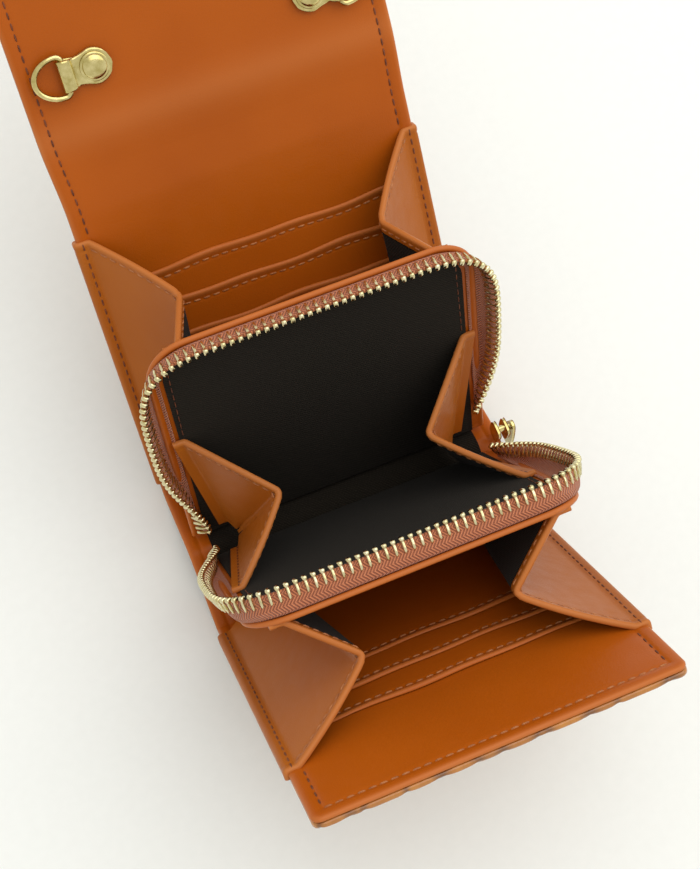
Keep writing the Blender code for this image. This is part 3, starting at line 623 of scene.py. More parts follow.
def outer_route():
    """Outer face of the cover from the front panel's free edge to the flap's."""
    corners = [FRONT.at(0, FRONT_HEIGHT, -PANEL_OUT), line_at_height(FRONT, -PANEL_OUT, 0),
               FRONT_FOLD * (0, 1, 0) + (0, FOLD_FLAT, 0), MIDDLE_UNDER,
               BACK_FOLD * (0, 1, 0) - (0, FOLD_FLAT, 0), line_at_height(BACK, -PANEL_OUT, 0)]
    corners = [c[1:] for c in corners] + cover_corners(-PANEL_OUT)
    base = (PANEL_OUT, BASE_FOLD_RADIUS, MIDDLE_FOLD_RADIUS, BASE_FOLD_RADIUS, PANEL_OUT)
    return Route(corners, base + FLAP_RADII, 1)


def inner_route():
    """Inner face of the cover's lining, the same way round."""
    middle = MIDDLE_UNDER + (0, 0, COVER_THICK_AT_BASE)
    corners = [FRONT.at(0, FRONT_HEIGHT, 0), line_at_height(FRONT, 0, INNER_FLOOR), middle,
               line_at_height(BACK, 0, INNER_FLOOR)]
    corners = [c[1:] for c in corners] + cover_corners(0)
    return Route(corners, (INNER_FOOT_RADIUS, BASE_FOLD_RADIUS, INNER_FOOT_RADIUS, *FLAP_RADII), 1)


def scale_pattern(u, v):
    """Embossed scales: 0 on a scale's crown, 1 in the valley between two of them."""
    wide, tall = SCALE_WIDE, SCALE_TALL
    v = v + 1.1 * np.sin(u / 21.0)
    shift = np.random.default_rng(11).uniform(-0.5, 0.5, (64, 64, 2))
    best = np.full(u.shape, 1e9)
    second = np.full(u.shape, 1e9)
    row0 = np.floor(v / tall).astype(int)
    for dr in (-1, 0, 1):
        row = row0 + dr
        col0 = np.floor(u / wide - 0.5 * (row % 2)).astype(int)
        for dc in (-1, 0, 1):
            col = col0 + dc
            jitter = shift[row % 64, col % 64]
            cu = (col + 0.5 + 0.5 * (row % 2) + 0.42 * jitter[..., 0]) * wide
            cv = (row + 0.5 + 0.34 * jitter[..., 1]) * tall
            away = np.hypot((u - cu) / wide, (v - cv) / tall)
            closer = away < best
            second = np.where(closer, best, np.minimum(second, away))
            best = np.where(closer, away, best)
    return np.exp(-((second - best) / 0.16) ** 1.6)


def ripple(u, v, seed):
    """Slow unevenness of hand-worked leather, about -1 to 1."""
    return (np.sin(u / 17.0 + seed) * np.cos(v / 23.0 + 1.7 * seed)
            + 0.6 * np.sin(u / 8.3 - v / 13.0 + 2.3 * seed)) / 1.6


OUTER = outer_route()
INNER = inner_route()
OUTER_FOLD_1 = OUTER.nearest(FLAP_TOP.at(0, 0, -PANEL_OUT))
INNER_FOLD_1 = INNER.nearest(FLAP_FOLD)


def strip_half(s, fold):
    """Half the cover's width: the flap is a little wider than the panels."""
    return HALF + (FLAP_HALF - HALF) * smooth_step((s - fold + FLARE) / FLARE)


def joint_line(centre, way, reach):
    centre, way = np.asarray(centre), unit(np.asarray(way))
    return tuple((centre - way * reach) * MM), tuple((centre + way * reach) * MM)


BASE_WAY = unit(MIDDLE_UNDER - (FRONT_FOLD * (0, 1, 0) + (0, FOLD_FLAT, 0)))
BASE_WAY_BACK = BASE_WAY * (1, 1, -1)
FOLDS = {  # piece of the cover: its two bodies, and a short line across the fold between them
    "front": ("front_panel", "zip_front", joint_line(FRONT_FOLD, BASE_WAY - FRONT.up, 3.0)),
    "middle": ("zip_front", "root", joint_line(MIDDLE_FOLD, (0, 1, 0), 3.0)),
    "back": ("root", "back_panel", joint_line(BACK_FOLD, BASE_WAY_BACK + BACK.up, 3.0)),
    "flap": ("back_panel", "flap_top", joint_line(FLAP_FOLD, FLAP_TOP.up, 5.0)),
    "flap_end": ("flap_top", "flap_end", joint_line(FLAP_END_FOLD, FLAP_TOP.up + FLAP_END.up, 5.0)),
}
CUT_PLACES = (MIDDLE_UNDER * 0.5 + FRONT_FOLD * 0.5 - (0, 0, 1.6),
              MIDDLE_UNDER * 0.5 + BACK_FOLD * 0.5 - (0, 0, 1.6),
              FLAP_TOP.at(0, BACK_BEND_HEIGHT - FLAP_FOLD_HEIGHT + 12), FLAP_TOP.at(0, 22))


def bend_with(piece, fold):
    first, second, (start, end) = FOLDS[fold]
    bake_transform(piece)
    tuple(start)
    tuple(end)


def cover_piece(route, fold_1, s0, s1, ends, fine):
    """Stations of one stretch of the cover: x, s, and how far each is from the free edges."""
    low_free, high_free = ends
    radii = (CORNER_RADIUS if low_free else None, FLAP_CORNER_RADIUS if high_free else None)
    step = 0.95 if fine else 3.5
    s = s0 + spread(s1 - s0, step, low_free, high_free)
    if not fine:
        extra = [k for k in route.s if s0 < k < s1]
        s = np.unique(np.round(np.concatenate([s, extra]), 4))
        s = s[np.concatenate([[True], np.diff(s) > 0.05])]
    half = strip_half(s, fold_1) - narrowing(s, s0, s1, *radii)
    x, s_grid = side_to_side(half, s, HALF, step)
    full = strip_half(s_grid, fold_1)
    edge = edge_distance(x, s_grid, full, s0, s1, *radii)
    return x, s_grid, edge


def outer_faces(x, s, edge):
    """Inner and outer side of the embossed leather off the route, and its marks."""
    valley = scale_pattern(x, s)
    turned = EDGE_TURN * smooth_step(1 - edge / TURN_WIDTH)
    near = OUTER_THICKNESS + turned - rounding(edge, 0.7)
    far = -SCALE_CROWN + SCALE_DEPTH * valley + rounding(edge, 0.8)
    # rim: painted highlight along the free edges
    return near, far, {"valley": valley, "rim": np.clip(1 - edge / 1.3, 0, 1)}


def lining_faces(x, s, edge):
    """Both sides of the lining: a raised rim inside its edge, a dent along the seam."""
    crown = SEAM_RELIEF * (bell(edge - RIM_FROM_EDGE, 1.3) - bell(edge - STITCH_FROM_EDGE, 0.5))
    ridge = FOLD_RIDGE * bell(s - INNER_FOLD_1, 8.0) * smooth_step((edge - 5) / 9)
    near = crown + ridge + 0.05 * ripple(x, s, 1.0) - rounding(edge, 0.75)
    far = -LINING_THICKNESS - 0.4 * smooth_step(1 - edge / TURN_WIDTH) + rounding(edge, 0.6)
    # rim: painted highlight along the free edges and on the flap's first fold
    rim = np.clip(1 - edge / 1.3, 0, 1) + FOLD_HIGHLIGHT * bell(s - INNER_FOLD_1, 5.0)
    return near, far, {"rim": rim}


COVER_SIDES = (  # kind, material, route, its first flap fold, and its two faces
    ("outer", CROC, OUTER, OUTER_FOLD_1, outer_faces),
    ("lining", TAN, INNER, INNER_FOLD_1, lining_faces))
COVER_REPLACES = {
    "front": ("front",), "middle": ("base_front",), "back": ("base_back",), "flap": ("back",),
    "flap_end": ("flap_top", "flap_end")}


def add_cover():
    """Embossed outer leather and smooth lining, each in five stretches, one for each fold."""
    for kind, material, route, fold_1, faces in COVER_SIDES:
        cuts = [0] + [route.nearest(p) for p in CUT_PLACES] + [route.length]
        for number, fold in enumerate(FOLDS):
            ends = (number == 0, number == len(FOLDS) - 1)
            x, s, edge = cover_piece(route, fold_1, cuts[number], cuts[number + 1], ends,
                                     kind == "outer")
            spots, normals = route.follow(s)
            grid = np.concatenate([x[..., None], spots], -1)
            normals = np.concatenate([np.zeros_like(x)[..., None], normals], -1)
            near, far, marks = faces(x, s, edge)
            piece = add_shell("cover_%s_%s" % (kind, fold), material, grid, normals, near, far,
                              np.stack([x, s], -1), marks)
            bend_with(piece, fold)
            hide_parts(*("%s_%s" % (plate, kind) for plate in COVER_REPLACES[fold]))


# ---------------------------------------------------------------- sewing
STITCH_RINGS = (  # place along a stitch, its width, and how high it lies, from end to end
    (-1.0, 0.3, -0.9), (-0.86, 0.75, -0.35), (-0.45, 1.0, 0.15), (0.45, 1.0, 0.15),
    (0.86, 0.75, -0.35), (1.0, 0.3, -0.9))
STITCH_SIDES = 6


def add_stitches(name, runs, material=TAN_THREAD, radius=THREAD):
    """Thread along runs; a run is (points, normals), and its stitches dip in at both ends."""
    points, faces, uv = [], [], []
    sides = STITCH_SIDES
    for spots, normals in runs:
        lengths = run_of(spots)
        count = max(int(lengths[-1] / STITCH_PITCH), 1)
        for number in range(count):
            middle = (number + 0.5) * lengths[-1] / count
            ends = [sample(middle + k * STITCH_LENGTH / 2, lengths, spots) for k in (-1, 1)]
            reach = np.linalg.norm(ends[1] - ends[0]) / 2
            along = unit(ends[1] - ends[0])
            up = sample(middle, lengths, normals)
            up = unit(up - along * (up @ along))
            side = np.cross(along, up)
            centre = (ends[0] + ends[1]) / 2
            first = len(points)
            for place, wide, high in STITCH_RINGS:
                for k, turn in enumerate(turns_of(sides)):
                    points.append(centre + along * reach * place + up * radius * high
                                  + (side * math.cos(turn) + up * math.sin(turn)) * radius * wide)
                    uv.append((middle + reach * place, k / sides * 2))
            faces += ring_faces(len(STITCH_RINGS), sides, first)
            faces.append(tuple(range(first, first + sides)))
            last = first + (len(STITCH_RINGS) - 1) * sides
            faces.append(tuple(range(last + sides - 1, last - 1, -1)))
    return add_mesh(name, material, points, faces, uv)


def along_surface(place, corners, lift, radius=3.0):
    """A run on a surface through (x, s) corners, its inner corners rounded."""
    flat = []
    for index, corner in enumerate(corners):
        corner = np.array(corner, float)
        if index in (0, len(corners) - 1):
            flat.append(corner)
            continue
        back = np.array(corners[index - 1]) - corner
        on = np.array(corners[index + 1]) - corner
        reach = min(radius, np.linalg.norm(back) / 2, np.linalg.norm(on) / 2)
        flat.extend(corner_curve(corners[index - 1], corner, corners[index + 1], reach, 7))
    flat = np.array(flat)
    lengths = run_of(flat)
    s = np.linspace(0, lengths[-1], max(int(lengths[-1]), 2))
    x, h = sample(s, lengths, flat).T
    spots = place(x, h, np.full_like(x, lift))
    normals = place(x, h, np.full_like(x, lift + 1)) - spots
    return spots, normals


def wall_place(wall):
    def place(x, h, d):
        x, h, d = (np.asarray(v, float)[..., None] for v in (x, h, d))
        return wall.origin + x * (1, 0, 0) + wall.up * h + wall.inward * d
    return place


def add_cover_stitches():
    """Seam round the lining's free edges: light thread on top of the edge, dark down the sides."""
    cuts = [0] + [INNER.nearest(p) for p in CUT_PLACES] + [INNER.length]
    side = HALF - STITCH_FROM_EDGE
    lift = -STITCH_SUNK
    gusset_front = FRONT_HEIGHT - POCKET_GUSSET_FRONT
    back_start = INNER.nearest(BACK.at(0, POCKET_GUSSET_BACK))
    end = INNER.length - STITCH_FROM_EDGE
    corner = end - FLAP_SEAM_CORNER
    flap_side = FLAP_HALF - STITCH_FROM_EDGE
    top = [along_surface(INNER.place, [(-side, STITCH_FROM_EDGE), (side, STITCH_FROM_EDGE)], lift)]
    bend_with(add_stitches("stitches_front_edge", top), "front")
    sides = [along_surface(INNER.place, [(k * side, STITCH_FROM_EDGE + 1.5),
                                         (k * side, gusset_front - 1)], lift) for k in (-1, 1)]
    bend_with(add_stitches("stitches_front_sides", sides, DARK_THREAD), "front")
    lines = []
    for k in (-1, 1):
        stations = np.linspace(back_start + 1, end, 400)
        x = k * (strip_half(stations, INNER_FOLD_1) - STITCH_FROM_EDGE)
        lines.append((stations, x))
    for fold, s0, s1 in (("flap", back_start + 1, cuts[4]), ("flap_end", cuts[4], corner)):
        runs = []
        for stations, x in lines:
            keep = (stations >= s0) & (stations <= s1)
            spots = INNER.place(x[keep], stations[keep], np.full(keep.sum(), lift))
            normals = INNER.place(x[keep], stations[keep], np.full(keep.sum(), lift + 1)) - spots
            runs.append((spots, normals))
        if fold == "flap_end":
            turn = [(-flap_side, corner), (-flap_side, end), (flap_side, end), (flap_side, corner)]
            runs.append(along_surface(INNER.place, turn, lift, radius=8.0))
        bend_with(add_stitches("stitches_" + fold, runs, DARK_THREAD), fold)


# ---------------------------------------------------------------- card slots
def slot_wave(x, phase):
    """Waviness of a card slot's free edge."""
    return 0.35 * np.sin(x / 9.0 + phase) + 0.3 * np.sin(x / 4.7 + 2 * phase)


def add_card_slot(side, wall, number, top, phase):
    """One layer with a rolled, slightly wavy upper edge; returns its piece and its seam."""
    place = wall_place(wall)
    lift = CLEARANCE + (number - 1) * (SLOT_LEATHER + CLEARANCE)
    rows = CARD_SLOT_BOTTOM + spread(top - CARD_SLOT_BOTTOM, 5.0, False, True)
    x = spread(2 * CARD_SLOT_HALF, 3.0, True, True) - CARD_SLOT_HALF
    x, h = np.meshgrid(x, rows)
    gap = top - h
    near_top = np.exp(-gap / 14.0)
    edge = np.minimum(gap, CARD_SLOT_HALF - np.abs(x))
    grid = place(x, h + slot_wave(x, phase) * near_top, np.zeros_like(x))
    normals = np.broadcast_to(wall.inward, grid.shape)
    roll = 0.42 * bell(gap - 0.9, 0.9) - SEAM_RELIEF * bell(gap - SLOT_SEAM, 0.45)
    belly = 0.3 * smooth_step(gap / 10) * np.sin(np.pi * np.clip(gap / 60, 0, 1))
    swell = SLOT_SWELL * near_top * np.sin(x / 13 + phase)
    near = lift + SLOT_FACE + roll + belly + swell - rounding(edge, 0.5)
    far = lift + 0.02 + 0.2 * bell(gap, 1.0)
    # rim: painted highlight along the slot's rolled upper edge
    piece = add_shell("%s_card_slot_leather_%d" % (side, number), TAN, grid, normals, near,
                      far, np.stack([x, h + 200 * number], -1), {"rim": 0.75 * bell(gap - 0.7, 1.0)})
    reach = np.arange(-CARD_SLOT_HALF + 3, CARD_SLOT_HALF - 2, 1.0)
    swell = SLOT_SWELL * math.exp(-0.2) * np.sin(reach / 13 + phase)
    spots = place(reach, top - SLOT_SEAM + slot_wave(reach, phase), lift + SLOT_FACE - 0.08 + swell)
    return piece, (spots, np.broadcast_to(wall.inward, spots.shape))


def add_card_slots():
    """Three stepped layers on each panel."""
    for side, wall, body, offset in (("front", FRONT, "front_panel", 0),
                                     ("back", BACK, "back_panel", 0.8)):
        seams = []
        for number, top in enumerate(CARD_SLOT_HEIGHTS, start=1):
            piece, seam = add_card_slot(side, wall, number, top, number * 1.9 + offset)
            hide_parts("%s_card_slot_%d" % (side, number))
            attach(piece, body)
            seams.append(seam)
        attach(add_stitches("stitches_%s_card_slots" % side, seams), body)


# ---------------------------------------------------------------- gussets
def leg(start, end, count):
    t = np.linspace(0, 1, count + 2)[1:-1, None]
    return start + (end - start) * t


WRAP_POINTS = 6            # points of a pocket gusset's wrap over the panel's edge
FLANGE_POINTS = 3          # points of a flange
FOLD_POINTS = 4            # points of a fold between a flange and a leaf
LEAF_POINTS = 12
WRAP = 2.3                 # how far the wrap goes down the panel's edge
FOLD_REACH = 0.9


class Pleat:
    """Right-hand gusset between two slopes: lines of its folds, from the low end to the top."""

    def __init__(self, panel, wall, insets, heights, lows, peak_heights, peak_lows, panel_x, wall_x,
                 offs, flanges, wraps, reach):
        self.panel, self.wall = panel, wall
        self.heights, self.lows = heights, lows
        self.peaks = [self.peak(insets[0], peak_heights), self.peak(insets[1], peak_lows)]
        self.panel_x, self.wall_x = panel_x, wall_x
        self.offs, self.flanges, self.wraps, self.reach = offs, flanges, wraps, reach
        self.leaf = (WRAP_POINTS if wraps else 1) + FLANGE_POINTS + FOLD_POINTS - 1

    def peak(self, inset, heights):
        spot = (self.panel.at(0, heights[0]) + self.wall.at(0, heights[1])) / 2
        return np.array((HALF - inset, spot[1], spot[2]))

    def across(self, part):
        """Points across the gusset at a share of its height: flange, leaf, peak, leaf, flange."""
        h_panel = self.lows[0] + (self.heights[0] - self.lows[0]) * part
        h_wall = self.lows[1] + (self.heights[1] - self.lows[1]) * part
        x_panel = self.panel_x[1] + (self.panel_x[0] - self.panel_x[1]) * part
        x_wall = self.wall_x[1] + (self.wall_x[0] - self.wall_x[1]) * part
        peak = self.peaks[1] + (self.peaks[0] - self.peaks[1]) * part
        b = self.panel.at(x_panel, h_panel, self.offs[0])
        d = self.wall.at(x_wall, h_wall, self.offs[1])
        a = self.panel.at(x_panel + self.flanges[0], h_panel, self.offs[0])
        e = self.wall.at(x_wall + self.flanges[1], h_wall, self.offs[1])
        rows = []
        if self.wraps:
            low = self.panel.at(x_panel + self.flanges[0], h_panel, self.offs[0] - WRAP)
            rows += [low[None], leg(low, a, 1), corner_curve(low, a, b, 0.5, FOLD_POINTS)]
        else:
            rows += [a[None]]
        rows += [leg(a, b, FLANGE_POINTS), corner_curve(a, b, peak, FOLD_REACH, FOLD_POINTS)]
        rows += [leg(b, peak, 9), corner_curve(b, peak, d, self.reach, 7), leg(peak, d, 8)]
        rows += [corner_curve(peak, d, e, FOLD_REACH, FOLD_POINTS), leg(d, e, 2), e[None]]
        return np.concatenate(rows)


def add_gusset(side, hand, pleat, flip, bodies, blend_line, bow):
    """Leather leaves with a turned, sewn upper edge, and the twill on their inner side."""
    mirror = np.array((-1.0 if hand == "left" else 1.0, 1, 1))
    climb = np.linalg.norm(pleat.panel.at(0, pleat.heights[0]) - pleat.panel.at(0, pleat.lows[0]))
    gaps = np.array(list(EDGE_STEPS) + list(np.arange(12, climb, 5.0)) + [climb])[::-1]
    parts = 1 - gaps / climb
    grid = np.stack([pleat.across(part) for part in parts])
    run = np.stack([run_of(row) for row in grid])
    columns = grid.shape[1]
    is_leaf = np.zeros(columns)
    first = pleat.leaf
    is_leaf[first:first + LEAF_POINTS] = np.sin(np.linspace(0, np.pi, LEAF_POINTS))
    normals = grid_normals(grid) * flip
    grid = grid + normals * (bow * is_leaf)[None, :, None] * smooth_step(parts / 0.5)[:, None, None]
    normals = grid_normals(grid) * flip
    gap = np.repeat(gaps[:, None], columns, axis=1)
    seam_depth = 0.16 * bell(gap - GUSSET_SEAM, 0.45)
    near = GUSSET_OUT + 0.12 * bell(gap - 1.2, 0.9) - seam_depth - rounding(gap, 0.8)
    band = smooth_step((BAND + 0.35 - gap) / 0.35)
    far = -GUSSET_IN - 0.55 * band + rounding(gap, 0.8)
    uv = np.stack([run + (300 if hand == "left" else 0), gap], -1)
    # rim: painted highlight along the turned upper edge
    rim = 0.8 * bell(gap, 1.0)
    leather_piece = add_shell("%s_gusset_leather_%s" % (side, hand), GUSSET, grid * mirror,
                              normals * mirror, near, far, uv, {"rim": rim})
    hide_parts("%s_gusset_%s" % (side, hand))
    inner = gaps > BAND + 0.4
    keep = slice(first - 1, columns - FOLD_POINTS - 1)
    cloth = grid[inner][:, keep]
    facing = normals[inner][:, keep]
    flat = uv[inner][:, keep]
    twill_piece = add_shell("%s_gusset_twill_%s" % (side, hand), TWILL, cloth * mirror,
                            facing * mirror, np.full(cloth.shape[:2], -TWILL_NEAR),
                            np.full(cloth.shape[:2], -TWILL_FAR), flat)
    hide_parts("%s_gusset_lining_%s" % (side, hand))
    area = surface_area(cloth)
    row = int(np.argmin(np.abs(gaps - GUSSET_SEAM)))
    sewn = slice(first - 2, columns - FOLD_POINTS)
    top, up = grid[row, sewn], normals[row, sewn]
    runs = [((top + up * (GUSSET_OUT - 0.06)) * mirror, up * mirror)]
    runs.append(((top - up * 1.0) * mirror, -up * mirror))
    edge_seam = add_stitches("stitches_%s_gusset_%s" % (side, hand), runs)
    fold = (first - 5) if pleat.wraps else (first - 4)
    column = grid[:, fold]
    up = normals[:, fold]
    side_seam = add_stitches("stitches_%s_gusset_fold_%s" % (side, hand),
                             [((column + up * (GUSSET_OUT - 0.05)) * mirror, up * mirror)],
                             DARK_THREAD)
    for piece in (leather_piece, twill_piece, edge_seam, side_seam):
        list(bodies)
        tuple(blend_line[0])
        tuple(blend_line[1])
        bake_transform(piece)


def surface_area(grid):
    first = np.cross(grid[1:, :-1] - grid[:-1, :-1], grid[:-1, 1:] - grid[:-1, :-1])
    second = np.cross(grid[1:, :-1] - grid[1:, 1:], grid[:-1, 1:] - grid[1:, 1:])
    return float((np.linalg.norm(first, axis=-1) + np.linalg.norm(second, axis=-1)).sum() / 2)


def add_gussets():
    outside = -WALL_LEATHER / 2 - CLEARANCE
    low = (POCKET_GUSSET_LOW, POCKET_GUSSET_LOW)
    fold_x = (HALF - SEAM, HALF - SEAM)
    for side, panel, wall, bodies, insets, top, wall_fold, flip, bow in (
            ("front", FRONT, ZIP_FRONT, ("front_panel", "zip_front"), FRONT_PEAK,
             POCKET_GUSSET_FRONT, FRONT_WALL_FOLD, 1, -1.0),
            ("back", BACK, ZIP_BACK, ("back_panel", "root"), BACK_PEAK,
             POCKET_GUSSET_BACK, BACK_WALL_FOLD, -1, -0.8)):
        wall_x = (ZIP_HALF - wall_fold, ZIP_HALF - wall_fold)
        pleat = Pleat(panel, wall, insets, (top, POCKET_GUSSET_ZIP), low, POCKET_PEAK_HEIGHTS,
                      POCKET_PEAK_LOW, fold_x, wall_x, (CLEARANCE, outside), (SEAM + 0.35, 4.0),
                      True, 1.8)
        line = blend_across(panel, wall)
        for hand in ("left", "right"):
            add_gusset(side, hand, pleat, flip, bodies, line, bow)
    inside = CLOTH_END + CLEARANCE
    zip_x = (ZIP_HALF - ZIP_WALL_FOLD[0], ZIP_HALF - ZIP_WALL_FOLD[1])
    pleat = Pleat(ZIP_FRONT, ZIP_BACK, ZIP_PEAK, (ZIP_GUSSET_HEIGHT, ZIP_GUSSET_HEIGHT),
                  (ZIP_GUSSET_LOW, ZIP_GUSSET_LOW), (ZIP_PEAK_HEIGHT, ZIP_PEAK_HEIGHT),
                  (ZIP_GUSSET_LOW, ZIP_GUSSET_LOW), zip_x, zip_x, (inside, inside), (3.0, 3.4),
                  False, 1.6)
    middle = (ZIP_FRONT.at(0, 0) + ZIP_BACK.at(0, 0)) / 2
    line = joint_line(middle, (0, 1, 0), 19.0)
    for hand in ("left", "right"):
        add_gusset("zip", hand, pleat, 1, ("zip_front", "root"), line, -0.6)


def blend_across(panel, wall):
    """Ends of a line across a gusset, from near its panel's side to near its wall's side."""
    turn = math.copysign(1, panel.inward[1] * wall.inward[1])
    way = unit(panel.inward + wall.inward * turn)
    foot, start, end = (place @ way for place in (panel.at(0, 0), panel.at(0, 50), wall.at(0, 50)))
    low = foot + (start - foot) * BLEND_MARGIN
    high = foot + (end - foot) * (1 - BLEND_MARGIN)
    return tuple(way * low * MM), tuple(way * high * MM)


# ---------------------------------------------------------------- the zip compartment
def closed_share(h):
    """How far a row may stand off its cloth at a height: half the room between closed walls."""
    near = abs((MIDDLE_FOLD - ZIP_FRONT.origin) @ ZIP_FRONT.inward)
    far = abs((MIDDLE_FOLD - ZIP_BACK.origin) @ ZIP_BACK.inward)
    left_open = math.radians(OPEN_ANGLE - CLOSED_ANGLE)
    return (near + far + h * math.sin(left_open)) / 2 - TOOTH_REACH - CLEARANCE - CLOTH_START


def zip_edge():
    """Edge of a zip wall from its lower left, over the top, to its lower right, evenly stepped."""
    inner = ZIP_HALF - ZIP_CORNER_RADIUS
    high = ZIP_HEIGHT - ZIP_CORNER_RADIUS
    quarter = math.pi / 2 * ZIP_CORNER_RADIUS
    lengths = (high - ROW_END_LEFT, quarter, 2 * inner, quarter, high - ROW_END_RIGHT)
    count = int(sum(lengths) / TOOTH_PITCH)
    for step in range(count + 1):
        run = sum(lengths) * step / count
        stretch = 0
        while stretch < 4 and run > lengths[stretch]:
            run -= lengths[stretch]
            stretch += 1
        turn = run / ZIP_CORNER_RADIUS
        if stretch == 0:
            yield (-ZIP_HALF, ROW_END_LEFT + run), (-1, 0)
        elif stretch == 1:
            out = (-math.cos(turn), math.sin(turn))
            yield (-inner + out[0] * ZIP_CORNER_RADIUS, high + out[1] * ZIP_CORNER_RADIUS), out
        elif stretch == 2:
            yield (run - inner, ZIP_HEIGHT), (0, 1)
        elif stretch == 3:
            out = (math.sin(turn), math.cos(turn))
            yield (inner + out[0] * ZIP_CORNER_RADIUS, high + out[1] * ZIP_CORNER_RADIUS), out
        else:
            yield (ZIP_HALF, high - run), (1, 0)


def zip_row(wall, share, flare):
    """Sewn edge of the tape and middle of the teeth, station by station."""
    roots, teeth = [], []
    for edge, out in zip_edge():
        rise = float(smooth_step((edge[1] - ROW_TUCK_FROM) / ROW_TUCK_RISE))
        outward = -0.5 + abs(out[0]) * (flare * rise - ROW_TUCK * (1 - rise) + 0.5)
        reach = share * closed_share(edge[1])
        roots.append(wall.at(edge[0] - out[0] * TAPE_ROOT_INSET, edge[1] - out[1] * TAPE_ROOT_INSET,
                             CLOTH_START + TAPE / 2))
        teeth.append(wall.at(edge[0] + out[0] * outward, edge[1] + out[1] * outward,
                             reach + CLOTH_START))
    return np.array(roots), np.array(teeth)


TOOTH_SECTIONS = (  # reach from the row's middle line, half width and half thickness
    (-3.1, 0.26, 0.7), (-2.85, 0.42, 1.02), (-1.6, 0.46, 1.12), (-0.3, 0.45, 1.05),
    (0.1, 0.42, 0.86), (0.4, 0.58, 0.92), (0.7, 0.76, 1.05), (1.1, 0.78, 1.06),
    (1.4, 0.6, 0.84), (1.58, 0.28, 0.45))
TOOTH_SIDES = 10


def tooth_shape():
    """One tooth: legs that grip the tape's cord, a narrow stem, and a rounded head."""
    sides = TOOTH_SIDES
    points = [(squared(math.cos(turn), 0.6) * wide, reach, squared(math.sin(turn), 0.6) * thick)
              for reach, wide, thick in TOOTH_SECTIONS
              for turn in turns_of(sides) + math.pi / sides]
    faces = ring_faces(len(TOOTH_SECTIONS), sides)
    faces.append(tuple(range(sides - 1, -1, -1)))
    last = (len(TOOTH_SECTIONS) - 1) * sides
    faces.append(tuple(range(last, last + sides)))
    return np.array(points), faces


def eased(points, reach):
    """The same line with its corners eased, its ends kept, and its points evenly spaced again."""
    count = len(points)
    held = np.minimum(np.arange(count), np.arange(count)[::-1]) / reach
    weights = np.exp(-0.5 * (np.arange(-3 * reach, 3 * reach + 1) / reach) ** 2)
    padded = np.pad(points, ((3 * reach, 3 * reach), (0, 0)), "edge")
    soft = np.stack([np.convolve(padded[:, i], weights / weights.sum(), "valid")
                     for i in range(3)], -1)
    soft = points + (soft - points) * smooth_step(held)[:, None]
    run = run_of(soft)
    even = np.linspace(0, run[-1], int(run[-1] / TOOTH_PITCH) + 1)
    return sample(even, run, soft), even / run[-1]


def add_zip_half(side, wall, body, share, flare):
    """Tape sewn inside the wall's edge, domed over its rim, with a tooth every pitch."""
    roots, teeth = zip_row(wall, share, flare)
    starts = run_of(teeth)
    teeth, shares = eased(teeth, ROW_EASE)
    at = np.interp(shares, starts / starts[-1], np.arange(len(starts)))
    roots = sample(at, np.arange(len(roots)), roots)
    along = unit(np.gradient(teeth, axis=0))
    flat = teeth - roots
    flat = unit(flat - along * np.sum(flat * along, axis=1, keepdims=True))
    face = np.cross(along, flat)
    rise = np.sign(np.sum(face * (roots - wall.at(0, ZIP_HEIGHT / 3)), axis=1))[:, None]
    face = face * np.where(rise == 0, 1, rise)
    add_tape(side, body, roots, teeth, face)
    reach = flat * math.cos(TOOTH_DIP) - face * math.sin(TOOTH_DIP)
    up = face * math.cos(TOOTH_DIP) + flat * math.sin(TOOTH_DIP)
    shape, shape_faces = tooth_shape()
    points = [teeth[i] + shape[:, :1] * along[i] + shape[:, 1:2] * reach[i] + shape[:, 2:] * up[i]
              for i in range(len(teeth))]
    faces = [tuple(i * len(shape) + v for v in f) for i in range(len(teeth)) for f in shape_faces]
    row = add_mesh("zip_%s_tooth_row" % side, TOOTH_GOLD, np.concatenate(points), faces, sharp=48)
    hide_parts("zip_%s_teeth" % side)
    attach(row, body)


def add_tape(side, body, roots, teeth, face):
    """Woven band: up over the wall's rim from its sewn edge, and domed over to the corded edge."""
    count = len(teeth)
    fine = np.linspace(0, count - 1, 3 * count)
    sewn, hooked, facing = (sample(fine, np.arange(count), part) for part in (roots, teeth, face))
    facing = unit(facing)
    shares = np.array(TAPE_STATIONS)
    grid = sewn[:, None] + (hooked - sewn)[:, None] * shares[None, :, None]
    dome = TAPE_DOME * np.sin(np.pi * np.clip(shares / 0.92, 0, 1) ** 0.62)
    tall = smooth_step(np.linalg.norm(hooked - sewn, axis=1) / 6 - 0.3)
    grid = grid + facing[:, None] * (dome[None, :] * tall[:, None])[..., None]
    normals = grid_normals(grid)
    normals *= np.sign(np.sum(normals * facing[:, None], axis=2, keepdims=True))
    run_across = np.stack([run_of(row) for row in grid])
    from_end = run_across[:, -1:] - run_across
    cord = CORD_RISE * np.sqrt(np.clip(1 - ((from_end - CORD_HALF) / CORD_HALF) ** 2, 0, 1))
    half = np.where(from_end < 0.02, 0.1, TAPE / 2 - 0.05 + cord)
    run = run_of(hooked)
    uv = np.stack([np.repeat(run[:, None], len(shares), 1), run_across], -1)
    cloth = add_shell("zip_%s_tape_cloth" % side, TAPE_CLOTH, grid, normals, half, -half, uv)
    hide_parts("zip_%s_tape" % side)
    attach(cloth, body)


